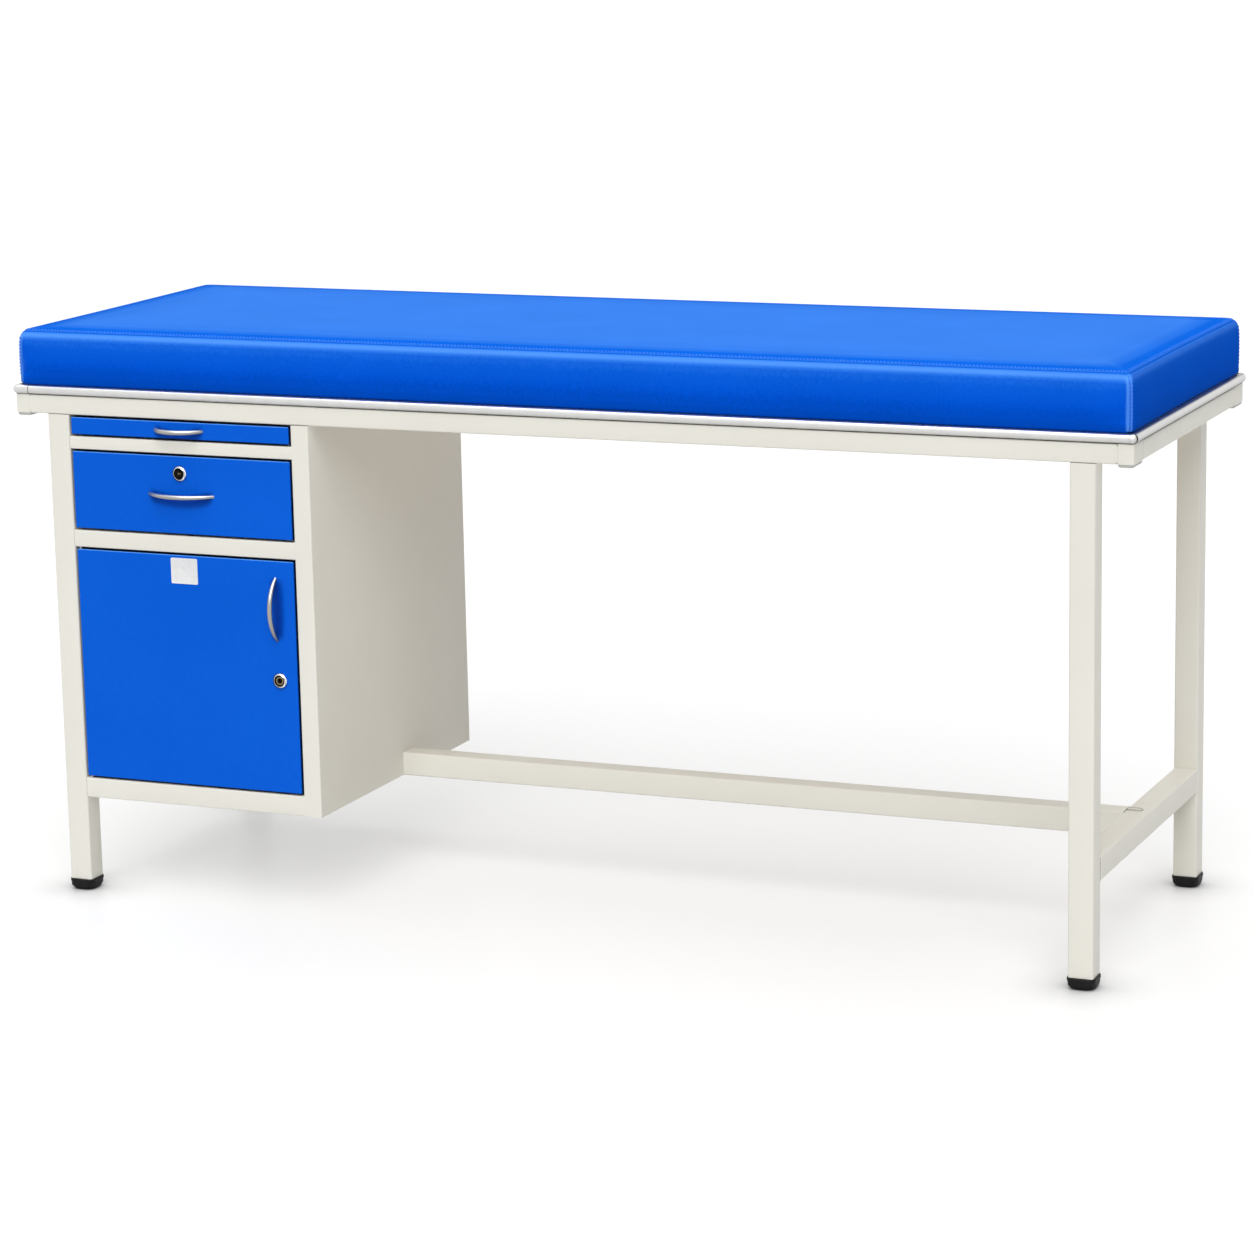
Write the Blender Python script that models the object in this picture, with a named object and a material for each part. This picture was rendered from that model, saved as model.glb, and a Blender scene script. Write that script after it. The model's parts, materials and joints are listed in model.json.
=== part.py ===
"""Examination table with a cabinet under one end, in metres, +Z up.

X runs along the couch with the cabinet at -X, and the front faces -Y.
The origin is on the floor, under the middle of the object's box.
"""

import math

import bmesh
import bpy
from mathutils import Vector

# Fits between pieces
FIT = 0.0003  # pieces that are welded, screwed or seated together
RUN = 0.0005  # tray and drawer on their runners
FRONT_GAP = 0.003  # shadow gap round the tray, drawer and door fronts

# Top frame: square-cut tube with an upright socket at each corner
FRAME_LENGTH = 1.820
FRAME_WIDTH = 0.620
FRAME_HEIGHT = 0.776  # floor to the underside of the rails
RAIL_HEIGHT = 0.030
RAIL_DEPTH = 0.025
TUBE_WALL = 0.0015
TUBE_ROUND = 0.0025
BORE_ROUND = 0.001
TUBE_STEPS = 2
SOCKET_WIDTH = 0.025
SOCKET_DEPTH = 0.050
PLUG_LIP = 0.004
PLUG_INSET = 0.001
PLUG_STEM = 0.016

# Legs, shoes and stretchers
LEG_SIDE = 0.038
LEG_INSET = 0.056  # frame end to the outer face of the leg
SHOE_WALL = 0.003
SHOE_HEIGHT = 0.018
SHOE_SOLE = 0.006
SHOE_ROUND = 0.009
SHOE_CHAMFER = 0.0015
SHOE_STEPS = 3
TAB_LENGTH = 0.026
TAB_WIDTH = 0.013
TAB_THICK = 0.002
TAB_STEPS = 6

# Deck board and the edge strip that is pressed into its groove
DECK_THICK = 0.014
DECK_INSET = 0.004  # frame face to the edge of the board
STRIP_PROUD = 0.005  # frame face to the nose of the strip
STRIP_STEPS = 8
TONGUE_THICK = 0.0024
TONGUE_DEPTH = 0.008
MITRE_GAP = 0.0003

# Mattress
MATTRESS_INSET = 0.0085  # nose of the strip to the side of the mattress
MATTRESS_HEIGHT = 0.085  # up to the seam round the top
MATTRESS_CROWN = 0.005
MATTRESS_BULGE = 0.002
MATTRESS_DRAW = 0.003  # how far the sides pull in between the corners
MATTRESS_ROUND = 0.014
MATTRESS_EDGE = 0.009
COVER_THICK = 0.0012
COVER_HEM = 0.060
LONG_STEPS = 12
SHORT_STEPS = 5
CORNER_STEPS = 4
CROWN_REACH = (0.030, 0.085, 0.150)  # inset of each ring of the crown
CROWN_RISE = (0.55, 0.92, 1.0)  # part of the crown reached there

# Cabinet
CABINET_WIDTH = 0.460
CABINET_DEPTH = 0.545
CABINET_BOTTOM = 0.156
SHEET = 0.0012
STILE_WIDTH = 0.030
STILE_LIP = 0.012
FRONT_RAIL_DEPTH = 0.015
UPPER_RAIL = 0.020
MIDDLE_RAIL = 0.027
LOWER_RAIL = 0.032
TRAY_OPENING = 0.034
DRAWER_OPENING = 0.130

# Fronts, tray and drawer
FRONT_DEPTH = 0.015
FRONT_ROUND = 0.0015
SLIDE_SPACE = 0.012  # opening's side to the side of the tray or drawer
RUNNER_SHEET = 0.0015
RUNNER_FLANGE = 0.014
TRAY_LENGTH = 0.440
TRAY_WALL = 0.018
TRAY_LIFT = 0.0055  # upper rail to the underside of the tray
TRAY_WEB = 0.030
DRAWER_LENGTH = 0.460
DRAWER_WALL = 0.080
DRAWER_WEB = 0.025

# Handles: round bars bent to a bow, thinner at their ends
HANDLE_RADIUS = 0.0045
HANDLE_TIP = 0.0026
HANDLE_RISE = 0.0215  # front face to the middle of the bar
HANDLE_SIDES = 10
HANDLE_STEPS = 12
TRAY_HANDLE = 0.088
DRAWER_HANDLE = 0.118
DOOR_HANDLE = 0.103
DOOR_HANDLE_TOP = 0.026  # door's top edge to the handle
DOOR_HANDLE_SIDE = 0.033  # door's right edge to the handle

# Cam locks
LOCK_BEZEL = 0.0122
LOCK_PROUD = 0.005
LOCK_CHAMFER = 0.0015
LOCK_BARREL = 0.0108
LOCK_BORE = 0.0094
LOCK_RECESS = 0.0015
LOCK_STEPS = 20
CAM_LENGTH = 0.040
CAM_WIDTH = 0.010
CAM_THICK = 0.002
CAM_BEHIND = 0.0015  # front rail's back to the cam
KEYWAY_LENGTH = 0.008
KEYWAY_WIDTH = 0.0022
KEYWAY_DEPTH = 0.004
DRAWER_LOCK_DROP = 0.0275  # drawer's top edge to the lock
DOOR_LOCK_DROP = 0.190
DOOR_LOCK_SIDE = 0.030

# Door pivots and plate
PIVOT_SIDE = 0.005  # door's left edge to the pivot
PIVOT_DEPTH = 0.0045  # door's face to the pivot
PIN_RADIUS = 0.002
PIN_HEAD = 0.0028
PIN_HEAD_THICK = 0.0015
PIN_REACH = 0.004
PIN_COLLAR = 0.0034
PIN_STEPS = 12
PLATE_WIDTH = 0.047
PLATE_HEIGHT = 0.041
PLATE_THICK = 0.0006
PLATE_DROP = 0.005
PLATE_ROUND = 0.002

# Places worked out from the sizes above
HALF_LENGTH = FRAME_LENGTH / 2
HALF_WIDTH = FRAME_WIDTH / 2
FACE = -HALF_WIDTH  # front face of the frame, the cabinet and its fronts
HANDLE_REACH = FIT + HANDLE_RISE + HANDLE_RADIUS
MIDDLE_SHIFT = (HANDLE_REACH - STRIP_PROUD) / 2
DECK_BOTTOM = FRAME_HEIGHT + RAIL_HEIGHT + FIT
MATTRESS_BOTTOM = DECK_BOTTOM + DECK_THICK + FIT
LEG_OUTSIDE = HALF_LENGTH - LEG_INSET
LEG_INSIDE = LEG_OUTSIDE - LEG_SIDE
STRETCHER_TOP = CABINET_BOTTOM + LEG_SIDE
STRETCHER_MIDDLE = CABINET_BOTTOM + LEG_SIDE / 2
CABINET_LEFT = -LEG_OUTSIDE
CABINET_RIGHT = CABINET_LEFT + CABINET_WIDTH
CABINET_BACK = FACE + CABINET_DEPTH
CABINET_TOP = FRAME_HEIGHT - FIT
OPENING_LEFT = -LEG_INSIDE
OPENING_RIGHT = CABINET_RIGHT - STILE_WIDTH
OPENING_MIDDLE = (OPENING_LEFT + OPENING_RIGHT) / 2
OPENING_WIDTH = OPENING_RIGHT - OPENING_LEFT
FRONT_WIDTH = OPENING_WIDTH - 2 * FRONT_GAP
SLIDE_WIDTH = OPENING_WIDTH - 2 * SLIDE_SPACE
UPPER_RAIL_TOP = FRAME_HEIGHT - TRAY_OPENING
DRAWER_TOP = UPPER_RAIL_TOP - UPPER_RAIL
MIDDLE_RAIL_TOP = DRAWER_TOP - DRAWER_OPENING
DOOR_OPENING_TOP = MIDDLE_RAIL_TOP - MIDDLE_RAIL
LOWER_RAIL_TOP = CABINET_BOTTOM + LOWER_RAIL
BEHIND_RAILS = FACE + FRONT_RAIL_DEPTH + FIT
BEFORE_BACK = CABINET_BACK - SHEET - FIT
INSIDE_RIGHT = CABINET_RIGHT - SHEET - FIT
CAM_START = FRONT_RAIL_DEPTH + CAM_BEHIND

QUARTER = math.pi / 2
ALONG_X = (0, QUARTER, 0)  # turns a piece made along Z to lie along X
ALONG_Y = (-QUARTER, 0, 0)  # and along Y


def clear_scene():
    for old in list(bpy.data.objects):
        bpy.data.objects.remove(old, do_unlink=True)


def finish(name, colour, roughness, metallic=0.0):
    material = bpy.data.materials.new(name)
    material.use_nodes = True
    shader = material.node_tree.nodes["Principled BSDF"]
    shader.inputs["Base Color"].default_value = (*colour, 1.0)
    shader.inputs["Roughness"].default_value = roughness
    shader.inputs["Metallic"].default_value = metallic
    return material


def pivot(name, place, parent=None):
    """An empty that carries the pieces of one moving group."""
    empty = bpy.data.objects.new(name, None)
    empty.location = place
    empty.parent = parent
    bpy.context.scene.collection.objects.link(empty)
    return empty


def piece(name, mesh, material, parent, place=(0, 0, 0), turn=(0, 0, 0)):
    """Make the named object of one sub-part from a finished bmesh."""
    bmesh.ops.recalc_face_normals(mesh, faces=mesh.faces)
    data = bpy.data.meshes.new(name)
    mesh.to_mesh(data)
    mesh.free()
    data.materials.append(material)
    data.shade_smooth()
    data.set_sharp_from_angle(angle=math.radians(35))
    shape = bpy.data.objects.new(name, data)
    shape.parent = parent
    shape.location = place
    shape.rotation_euler = turn
    bpy.context.scene.collection.objects.link(shape)
    return shape


def combine(shape, other, operation):
    """Cut or join one object with a helper that isn't part of the model."""
    other.hide_render = True
    other.display_type = "WIRE"
    change = shape.modifiers.new(other.name, "BOOLEAN")
    change.object = other
    change.operation = operation
    change.solver = "EXACT"


def lift(mesh, faces, move):
    """Extrude faces and move the new end."""
    grown = bmesh.ops.extrude_face_region(mesh, geom=faces)["geom"]
    moved = [item for item in grown if isinstance(item, bmesh.types.BMVert)]
    bmesh.ops.translate(mesh, verts=moved, vec=move)


def rounded_rectangle(width, depth, radius, steps):
    """Outline points in the XY plane, centred on the origin."""
    radius = min(radius, 0.49 * width, 0.49 * depth)
    points = []
    for corner, (side_x, side_y) in enumerate(((1, 1), (-1, 1), (-1, -1), (1, -1))):
        centre = Vector((side_x * (width / 2 - radius), side_y * (depth / 2 - radius)))
        for step in range(steps + 1):
            angle = QUARTER * (corner + step / steps)
            points.append(centre + radius * Vector((math.cos(angle), math.sin(angle))))
    return points


def edge_loop(mesh, outline, height):
    """A closed loop of edges at one height."""
    verts = [mesh.verts.new((*point, height)) for point in outline]
    return [mesh.edges.new((verts[i - 1], verts[i])) for i in range(len(verts))]


def tube(width, depth, length):
    """A hollow tube with open ends, along Z from the origin."""
    mesh = bmesh.new()
    outer = rounded_rectangle(width, depth, TUBE_ROUND, TUBE_STEPS)
    inner = rounded_rectangle(width - 2 * TUBE_WALL, depth - 2 * TUBE_WALL, BORE_ROUND, TUBE_STEPS)
    edges = edge_loop(mesh, outer, 0) + edge_loop(mesh, inner, 0)
    end = bmesh.ops.bridge_loops(mesh, edges=edges)["faces"]
    lift(mesh, end, (0, 0, length))
    return mesh


def extruded(outline, length, axis="Z"):
    """A plane outline given thickness along one axis, from the origin."""
    place = {
        "X": lambda first, second: (0, first, second),
        "Y": lambda first, second: (first, 0, second),
        "Z": lambda first, second: (first, second, 0),
    }[axis]
    move = {"X": (length, 0, 0), "Y": (0, length, 0), "Z": (0, 0, length)}[axis]
    mesh = bmesh.new()
    face = mesh.faces.new([mesh.verts.new(place(*point)) for point in outline])
    lift(mesh, [face], move)
    return mesh


def rectangle(low_x, low_y, high_x, high_y):
    return [(low_x, low_y), (high_x, low_y), (high_x, high_y), (low_x, high_y)]


def skinned(loops):
    """A solid skinned over loops of equal count, closed by a face at each end."""
    mesh = bmesh.new()
    rows = [[mesh.verts.new(point) for point in loop] for loop in loops]
    count = len(rows[0])
    for lower, upper in zip(rows, rows[1:]):
        for i in range(count):
            mesh.faces.new((lower[i - 1], lower[i], upper[i], upper[i - 1]))
    mesh.faces.new(rows[0])
    mesh.faces.new(rows[-1])
    return mesh


def turned(profile, steps, ring=False):
    """A profile of (radius, height) points turned about Z."""
    mesh = bmesh.new()
    verts = [mesh.verts.new((radius, 0, height)) for radius, height in profile]
    edges = [mesh.edges.new(pair) for pair in zip(verts, verts[1:])]
    if ring:
        edges.append(mesh.edges.new((verts[-1], verts[0])))
    bmesh.ops.spin(
        mesh, geom=verts + edges, axis=(0, 0, 1), cent=(0, 0, 0), angle=2 * math.pi, steps=steps
    )
    bmesh.ops.remove_doubles(mesh, verts=mesh.verts, dist=1e-6)
    return mesh


def open_box(width, depth, height, wall, rounding=0.0):
    """A box along Z from the origin, open at its top, with its bottom edges rounded."""
    mesh = bmesh.new()
    bmesh.ops.create_cube(mesh, size=1)
    bmesh.ops.scale(mesh, vec=(width, depth, height), verts=mesh.verts)
    bmesh.ops.translate(mesh, vec=(0, 0, height / 2), verts=mesh.verts)
    top = max(mesh.faces, key=lambda face: face.calc_center_median().z)
    bmesh.ops.inset_individual(mesh, faces=[top], thickness=wall)
    pocket = bmesh.ops.extrude_discrete_faces(mesh, faces=[top])["faces"]
    bmesh.ops.translate(mesh, vec=(0, 0, wall - height), verts=pocket[0].verts)
    if rounding:
        lowest = min(vert.co.z for vert in mesh.verts)
        outer = [
            edge for edge in mesh.edges if all(vert.co.z < lowest + wall / 2 for vert in edge.verts)
        ]
        bmesh.ops.bevel(
            mesh, geom=outer, offset=min(rounding, wall * 0.9), segments=2, profile=0.5, affect="EDGES"
        )
    return mesh


def bow(length):
    """A tapered bar bent to an arc along X that stands out towards -Y, cut flat at y = 0."""
    half = length / 2 - HANDLE_TIP
    for _ in range(8):
        bend = (half**2 + HANDLE_RISE**2) / (2 * HANDLE_RISE)
        half = length / 2 - HANDLE_TIP * bend / half
    bend = (half**2 + HANDLE_RISE**2) / (2 * HANDLE_RISE)
    centre = Vector((0, bend - HANDLE_RISE, 0))
    end = math.asin(half / bend) + 2 * HANDLE_TIP / bend
    loops = []
    for step in range(HANDLE_STEPS + 1):
        part = 2 * step / HANDLE_STEPS - 1
        outward = Vector((math.sin(end * part), -math.cos(end * part), 0))
        radius = HANDLE_TIP + (HANDLE_RADIUS - HANDLE_TIP) * math.cos(QUARTER * part)
        loop = []
        for side in range(HANDLE_SIDES):
            angle = 2 * math.pi * side / HANDLE_SIDES
            reach = bend + radius * math.cos(angle)
            loop.append(centre + reach * outward + Vector((0, 0, radius * math.sin(angle))))
        loops.append(loop)
    mesh = skinned(loops)
    everything = list(mesh.verts) + list(mesh.edges) + list(mesh.faces)
    bmesh.ops.bisect_plane(
        mesh, geom=everything, plane_co=(0, 0, 0), plane_no=(0, 1, 0), clear_outer=True
    )
    bmesh.ops.holes_fill(mesh, edges=mesh.edges, sides=0)
    return mesh


def mattress_ring(inset, height):
    """One level of the mattress: a rounded rectangle whose sides pull in between the corners."""
    length = FRAME_LENGTH + 2 * (STRIP_PROUD - MATTRESS_INSET)
    width = FRAME_WIDTH + 2 * (STRIP_PROUD - MATTRESS_INSET)
    shrink = 1 - 2 * inset / width
    radius = MATTRESS_ROUND * shrink
    draw = MATTRESS_DRAW * shrink
    half_x = length / 2 - inset
    half_y = width / 2 - inset
    sides = (
        (Vector((0, 1)), Vector((-1, 0)), half_x, half_y, LONG_STEPS),
        (Vector((-1, 0)), Vector((0, -1)), half_y, half_x, SHORT_STEPS),
        (Vector((0, -1)), Vector((1, 0)), half_x, half_y, LONG_STEPS),
        (Vector((1, 0)), Vector((0, 1)), half_y, half_x, SHORT_STEPS),
    )
    points = []
    for out, along, reach, distance, steps in sides:
        for step in range(steps + 1):
            part = step / steps
            pulled = distance - draw * math.sin(math.pi * part)
            points.append(out * pulled + along * (reach - radius) * (2 * part - 1))
        corner = out * (distance - radius) + along * (reach - radius)
        for step in range(1, CORNER_STEPS):
            angle = QUARTER * step / CORNER_STEPS
            points.append(corner + radius * (out * math.cos(angle) + along * math.sin(angle)))
    return [(*point, height) for point in points]


def mattress_levels():
    """(inset, height) of each ring, from the bottom edge up over the side to the crown."""
    edge = MATTRESS_EDGE
    top = MATTRESS_HEIGHT
    turn = edge * (1 - math.sqrt(0.5))
    levels = [(edge, 0), (turn, turn), (0, edge), (-MATTRESS_BULGE, top / 2)]
    levels += [(0, top - edge), (turn, top - turn), (edge, top)]
    levels += [(reach, top + rise * MATTRESS_CROWN) for reach, rise in zip(CROWN_REACH, CROWN_RISE)]
    return levels


def shrunk(levels, skin):
    """The same rings a skin's thickness further in on every side."""
    total = MATTRESS_HEIGHT + MATTRESS_CROWN
    scale = (total - 2 * skin) / total
    return [(inset + skin, skin + height * scale) for inset, height in levels]


def add_frame(table, ivory, grey):
    """Top rails, corner sockets and their plugs, and the bearers over the legs."""
    long_rail = FRAME_LENGTH - 2 * (SOCKET_WIDTH + FIT)
    end_rail = FRAME_WIDTH - 2 * (SOCKET_DEPTH + FIT)
    bearer = FRAME_WIDTH - 2 * (RAIL_DEPTH + FIT)
    rail_middle = FRAME_HEIGHT + RAIL_HEIGHT / 2
    for side, name in ((-1, "front"), (1, "rear")):
        mesh = tube(RAIL_HEIGHT, RAIL_DEPTH, long_rail)
        place = (-long_rail / 2, side * (HALF_WIDTH - RAIL_DEPTH / 2), rail_middle)
        piece("rail_" + name, mesh, ivory, table, place, ALONG_X)
    for side, name in ((-1, "left"), (1, "right")):
        mesh = tube(RAIL_DEPTH, RAIL_HEIGHT, end_rail)
        place = (side * (HALF_LENGTH - RAIL_DEPTH / 2), -end_rail / 2, rail_middle)
        piece("rail_" + name, mesh, ivory, table, place, ALONG_Y)
        mesh = tube(LEG_SIDE, RAIL_HEIGHT, bearer)
        place = (side * (LEG_OUTSIDE - LEG_SIDE / 2), -bearer / 2, rail_middle)
        piece("deck_bearer_" + name, mesh, ivory, table, place, ALONG_Y)
    for side_y, name_y in ((-1, "front"), (1, "rear")):
        for side_x, name_x in ((-1, "left"), (1, "right")):
            name = name_y + "_" + name_x
            x = side_x * (HALF_LENGTH - SOCKET_WIDTH / 2)
            y = side_y * (HALF_WIDTH - SOCKET_DEPTH / 2)
            mesh = tube(SOCKET_WIDTH, SOCKET_DEPTH, RAIL_HEIGHT)
            piece("corner_socket_" + name, mesh, ivory, table, (x, y, FRAME_HEIGHT))
            piece("corner_plug_" + name, plug_mesh(), grey, table, (x, y, FRAME_HEIGHT))


def plug_mesh():
    """Flange under the socket's end and a stem up inside it, with z = 0 at that end."""
    width = SOCKET_WIDTH - 2 * PLUG_INSET
    depth = SOCKET_DEPTH - 2 * PLUG_INSET
    gap = 2 * (TUBE_WALL + FIT)
    chamfer = 2 * PLUG_INSET
    levels = (
        (width - chamfer, depth - chamfer, -FIT - PLUG_LIP),
        (width, depth, -FIT - PLUG_LIP + PLUG_INSET),
        (width, depth, -FIT),
        (SOCKET_WIDTH - gap, SOCKET_DEPTH - gap, -FIT),
        (SOCKET_WIDTH - gap, SOCKET_DEPTH - gap, PLUG_STEM),
    )
    loops = []
    for wide, deep, height in levels:
        outline = rounded_rectangle(wide, deep, TUBE_ROUND, TUBE_STEPS)
        loops.append([(*point, height) for point in outline])
    return skinned(loops)


def shoe_mesh():
    """A cup for the leg's end: outside from the floor up, then down to the sole inside."""
    side = LEG_SIDE + 2 * SHOE_WALL
    inner = LEG_SIDE + 2 * FIT
    chamfer = 2 * SHOE_CHAMFER
    levels = (
        (side - chamfer, SHOE_ROUND - SHOE_CHAMFER, 0),
        (side, SHOE_ROUND, SHOE_CHAMFER),
        (side, SHOE_ROUND, SHOE_HEIGHT - SHOE_CHAMFER),
        (side - chamfer, SHOE_ROUND - SHOE_CHAMFER, SHOE_HEIGHT),
        (inner, TUBE_ROUND + FIT, SHOE_HEIGHT),
        (inner, TUBE_ROUND + FIT, SHOE_SOLE),
    )
    loops = []
    for wide, radius, height in levels:
        outline = rounded_rectangle(wide, wide, radius, SHOE_STEPS)
        loops.append([(*point, height) for point in outline])
    return skinned(loops)


def add_legs(table, ivory, black):
    foot = SHOE_SOLE + FIT
    for side_y, name_y in ((-1, "front"), (1, "rear")):
        for side_x, name_x in ((-1, "left"), (1, "right")):
            name = name_y + "_" + name_x
            x = side_x * (LEG_OUTSIDE - LEG_SIDE / 2)
            y = side_y * (HALF_WIDTH - LEG_SIDE / 2)
            mesh = tube(LEG_SIDE, LEG_SIDE, FRAME_HEIGHT - FIT - foot)
            piece("leg_" + name, mesh, ivory, table, (x, y, foot))
            piece("shoe_" + name, shoe_mesh(), black, table, (x, y, 0))


def add_stretchers(table, ivory):
    between_legs = FRAME_WIDTH - 2 * (LEG_SIDE + FIT)
    for side, name in ((-1, "left"), (1, "right")):
        mesh = tube(LEG_SIDE, LEG_SIDE, between_legs)
        place = (side * (LEG_OUTSIDE - LEG_SIDE / 2), -between_legs / 2, STRETCHER_MIDDLE)
        piece("end_stretcher_" + name, mesh, ivory, table, place, ALONG_Y)
    start = CABINET_RIGHT + FIT
    mesh = tube(LEG_SIDE, LEG_SIDE, LEG_INSIDE - FIT - start)
    piece("long_stretcher", mesh, ivory, table, (start, 0, STRETCHER_MIDDLE), ALONG_X)
    outline = rounded_rectangle(TAB_LENGTH, TAB_WIDTH, TAB_WIDTH / 2, TAB_STEPS)
    place = (LEG_INSIDE + TAB_LENGTH / 2, 0, STRETCHER_TOP + FIT)
    piece("stretcher_tab", extruded(outline, TAB_THICK), ivory, table, place)


def add_deck(table, board, aluminium):
    """The board with a groove round its edge, and the four strips pressed into it."""
    half_x = HALF_LENGTH - DECK_INSET
    half_y = HALF_WIDTH - DECK_INSET
    groove = TONGUE_DEPTH + FIT
    middle = DECK_THICK / 2
    slot = TONGUE_THICK / 2 + FIT
    levels = ((0, 0), (0, middle - slot), (groove, middle - slot))
    levels += ((groove, middle + slot), (0, middle + slot), (0, DECK_THICK))
    loops = []
    for inset, height in levels:
        outline = rectangle(inset - half_x, inset - half_y, half_x - inset, half_y - inset)
        loops.append([(*point, height) for point in outline])
    piece("deck_board", skinned(loops), board, table, (0, 0, DECK_BOTTOM))
    sides = (("front", half_x, half_y, 0), ("right", half_y, half_x, QUARTER))
    sides += (("rear", half_x, half_y, 2 * QUARTER), ("left", half_y, half_x, 3 * QUARTER))
    for name, half_edge, distance, angle in sides:
        mesh = strip_mesh(half_edge, distance)
        piece("edge_strip_" + name, mesh, aluminium, table, (0, 0, DECK_BOTTOM), (0, 0, angle))


def strip_mesh(half_edge, distance):
    """A round-nosed strip along X on the board's -Y edge, mitred at both ends."""
    nose = DECK_INSET + STRIP_PROUD
    radius = DECK_THICK / 2
    tongue = TONGUE_THICK / 2
    profile = [(FIT, radius - tongue), (FIT, 0)]
    for step in range(STRIP_STEPS + 1):
        angle = math.pi * (step / STRIP_STEPS - 0.5)
        reach = nose - radius * (1 - math.cos(angle))
        profile.append((reach, radius * (1 + math.sin(angle))))
    profile += [(FIT, DECK_THICK), (FIT, radius + tongue)]
    profile += [(-TONGUE_DEPTH, radius + tongue), (-TONGUE_DEPTH, radius - tongue)]
    mesh = bmesh.new()
    ends = []
    for side in (-1, 1):
        ends.append(
            [
                mesh.verts.new((side * (half_edge + out - MITRE_GAP), -distance - out, height))
                for out, height in profile
            ]
        )
    for i in range(len(profile)):
        mesh.faces.new((ends[0][i - 1], ends[0][i], ends[1][i], ends[1][i - 1]))
    mesh.faces.new(ends[0])
    mesh.faces.new(ends[1])
    return mesh


def add_mattress(table, vinyl, foam):
    """A cover with a hem turned under, and the foam block inside it."""
    levels = mattress_levels()
    inside = shrunk(levels, COVER_THICK)
    outer = [mattress_ring(COVER_HEM, 0)] + [mattress_ring(*level) for level in levels]
    inner = [mattress_ring(*level) for level in inside]
    inner.insert(0, mattress_ring(COVER_HEM, COVER_THICK))
    mesh = skinned(outer[::-1] + inner)
    piece("mattress_cover", mesh, vinyl, table, (0, 0, MATTRESS_BOTTOM))
    block = [mattress_ring(*level) for level in shrunk(levels, COVER_THICK + FIT)]
    piece("mattress_foam", skinned(block), foam, table, (0, 0, MATTRESS_BOTTOM))


def add_cabinet(table, ivory):
    """Sheet steel sides, back, floor and divider, and the three front rails."""
    stile = [
        (OPENING_RIGHT, FACE),
        (CABINET_RIGHT, FACE),
        (CABINET_RIGHT, CABINET_BACK),
        (CABINET_RIGHT - SHEET, CABINET_BACK),
        (CABINET_RIGHT - SHEET, FACE + SHEET),
        (OPENING_RIGHT + SHEET, FACE + SHEET),
        (OPENING_RIGHT + SHEET, FACE + STILE_LIP),
        (OPENING_RIGHT, FACE + STILE_LIP),
    ]
    mesh = extruded(stile, CABINET_TOP - CABINET_BOTTOM)
    piece("cabinet_side_right", mesh, ivory, table, (0, 0, CABINET_BOTTOM))
    behind_leg = FACE + LEG_SIDE + FIT
    inside_left = CABINET_LEFT + SHEET + FIT
    above_stretcher = STRETCHER_TOP + FIT
    outline = rectangle(CABINET_LEFT, behind_leg, CABINET_LEFT + SHEET, CABINET_BACK)
    mesh = extruded(outline, CABINET_TOP - above_stretcher)
    piece("cabinet_side_left", mesh, ivory, table, (0, 0, above_stretcher))
    beside_stretcher = OPENING_LEFT + FIT
    back = [
        (inside_left, above_stretcher),
        (beside_stretcher, above_stretcher),
        (beside_stretcher, CABINET_BOTTOM),
        (INSIDE_RIGHT, CABINET_BOTTOM),
        (INSIDE_RIGHT, CABINET_TOP),
        (inside_left, CABINET_TOP),
    ]
    mesh = extruded(back, SHEET, "Y")
    piece("cabinet_back", mesh, ivory, table, (0, CABINET_BACK - SHEET, 0))
    outline = rectangle(beside_stretcher, BEHIND_RAILS, INSIDE_RIGHT, BEFORE_BACK)
    piece("cabinet_floor", extruded(outline, SHEET), ivory, table, (0, 0, CABINET_BOTTOM))
    shelf = [
        (beside_stretcher, BEHIND_RAILS),
        (INSIDE_RIGHT, BEHIND_RAILS),
        (INSIDE_RIGHT, BEFORE_BACK),
        (inside_left, BEFORE_BACK),
        (inside_left, behind_leg),
        (beside_stretcher, behind_leg),
    ]
    mesh = extruded(shelf, SHEET)
    piece("cabinet_divider", mesh, ivory, table, (0, 0, MIDDLE_RAIL_TOP - SHEET))
    rails = {}
    for name, bottom, height in (
        ("upper", DRAWER_TOP, UPPER_RAIL),
        ("middle", DOOR_OPENING_TOP, MIDDLE_RAIL),
        ("lower", CABINET_BOTTOM, LOWER_RAIL),
    ):
        channel = [
            (0, 0),
            (FRONT_RAIL_DEPTH, 0),
            (FRONT_RAIL_DEPTH, SHEET),
            (SHEET, SHEET),
            (SHEET, height - SHEET),
            (FRONT_RAIL_DEPTH, height - SHEET),
            (FRONT_RAIL_DEPTH, height),
            (0, height),
        ]
        mesh = extruded(channel, OPENING_WIDTH - 2 * FIT, "X")
        place = (OPENING_LEFT + FIT, FACE, bottom)
        rails[name] = piece("front_rail_" + name, mesh, ivory, table, place)
    return rails


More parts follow.
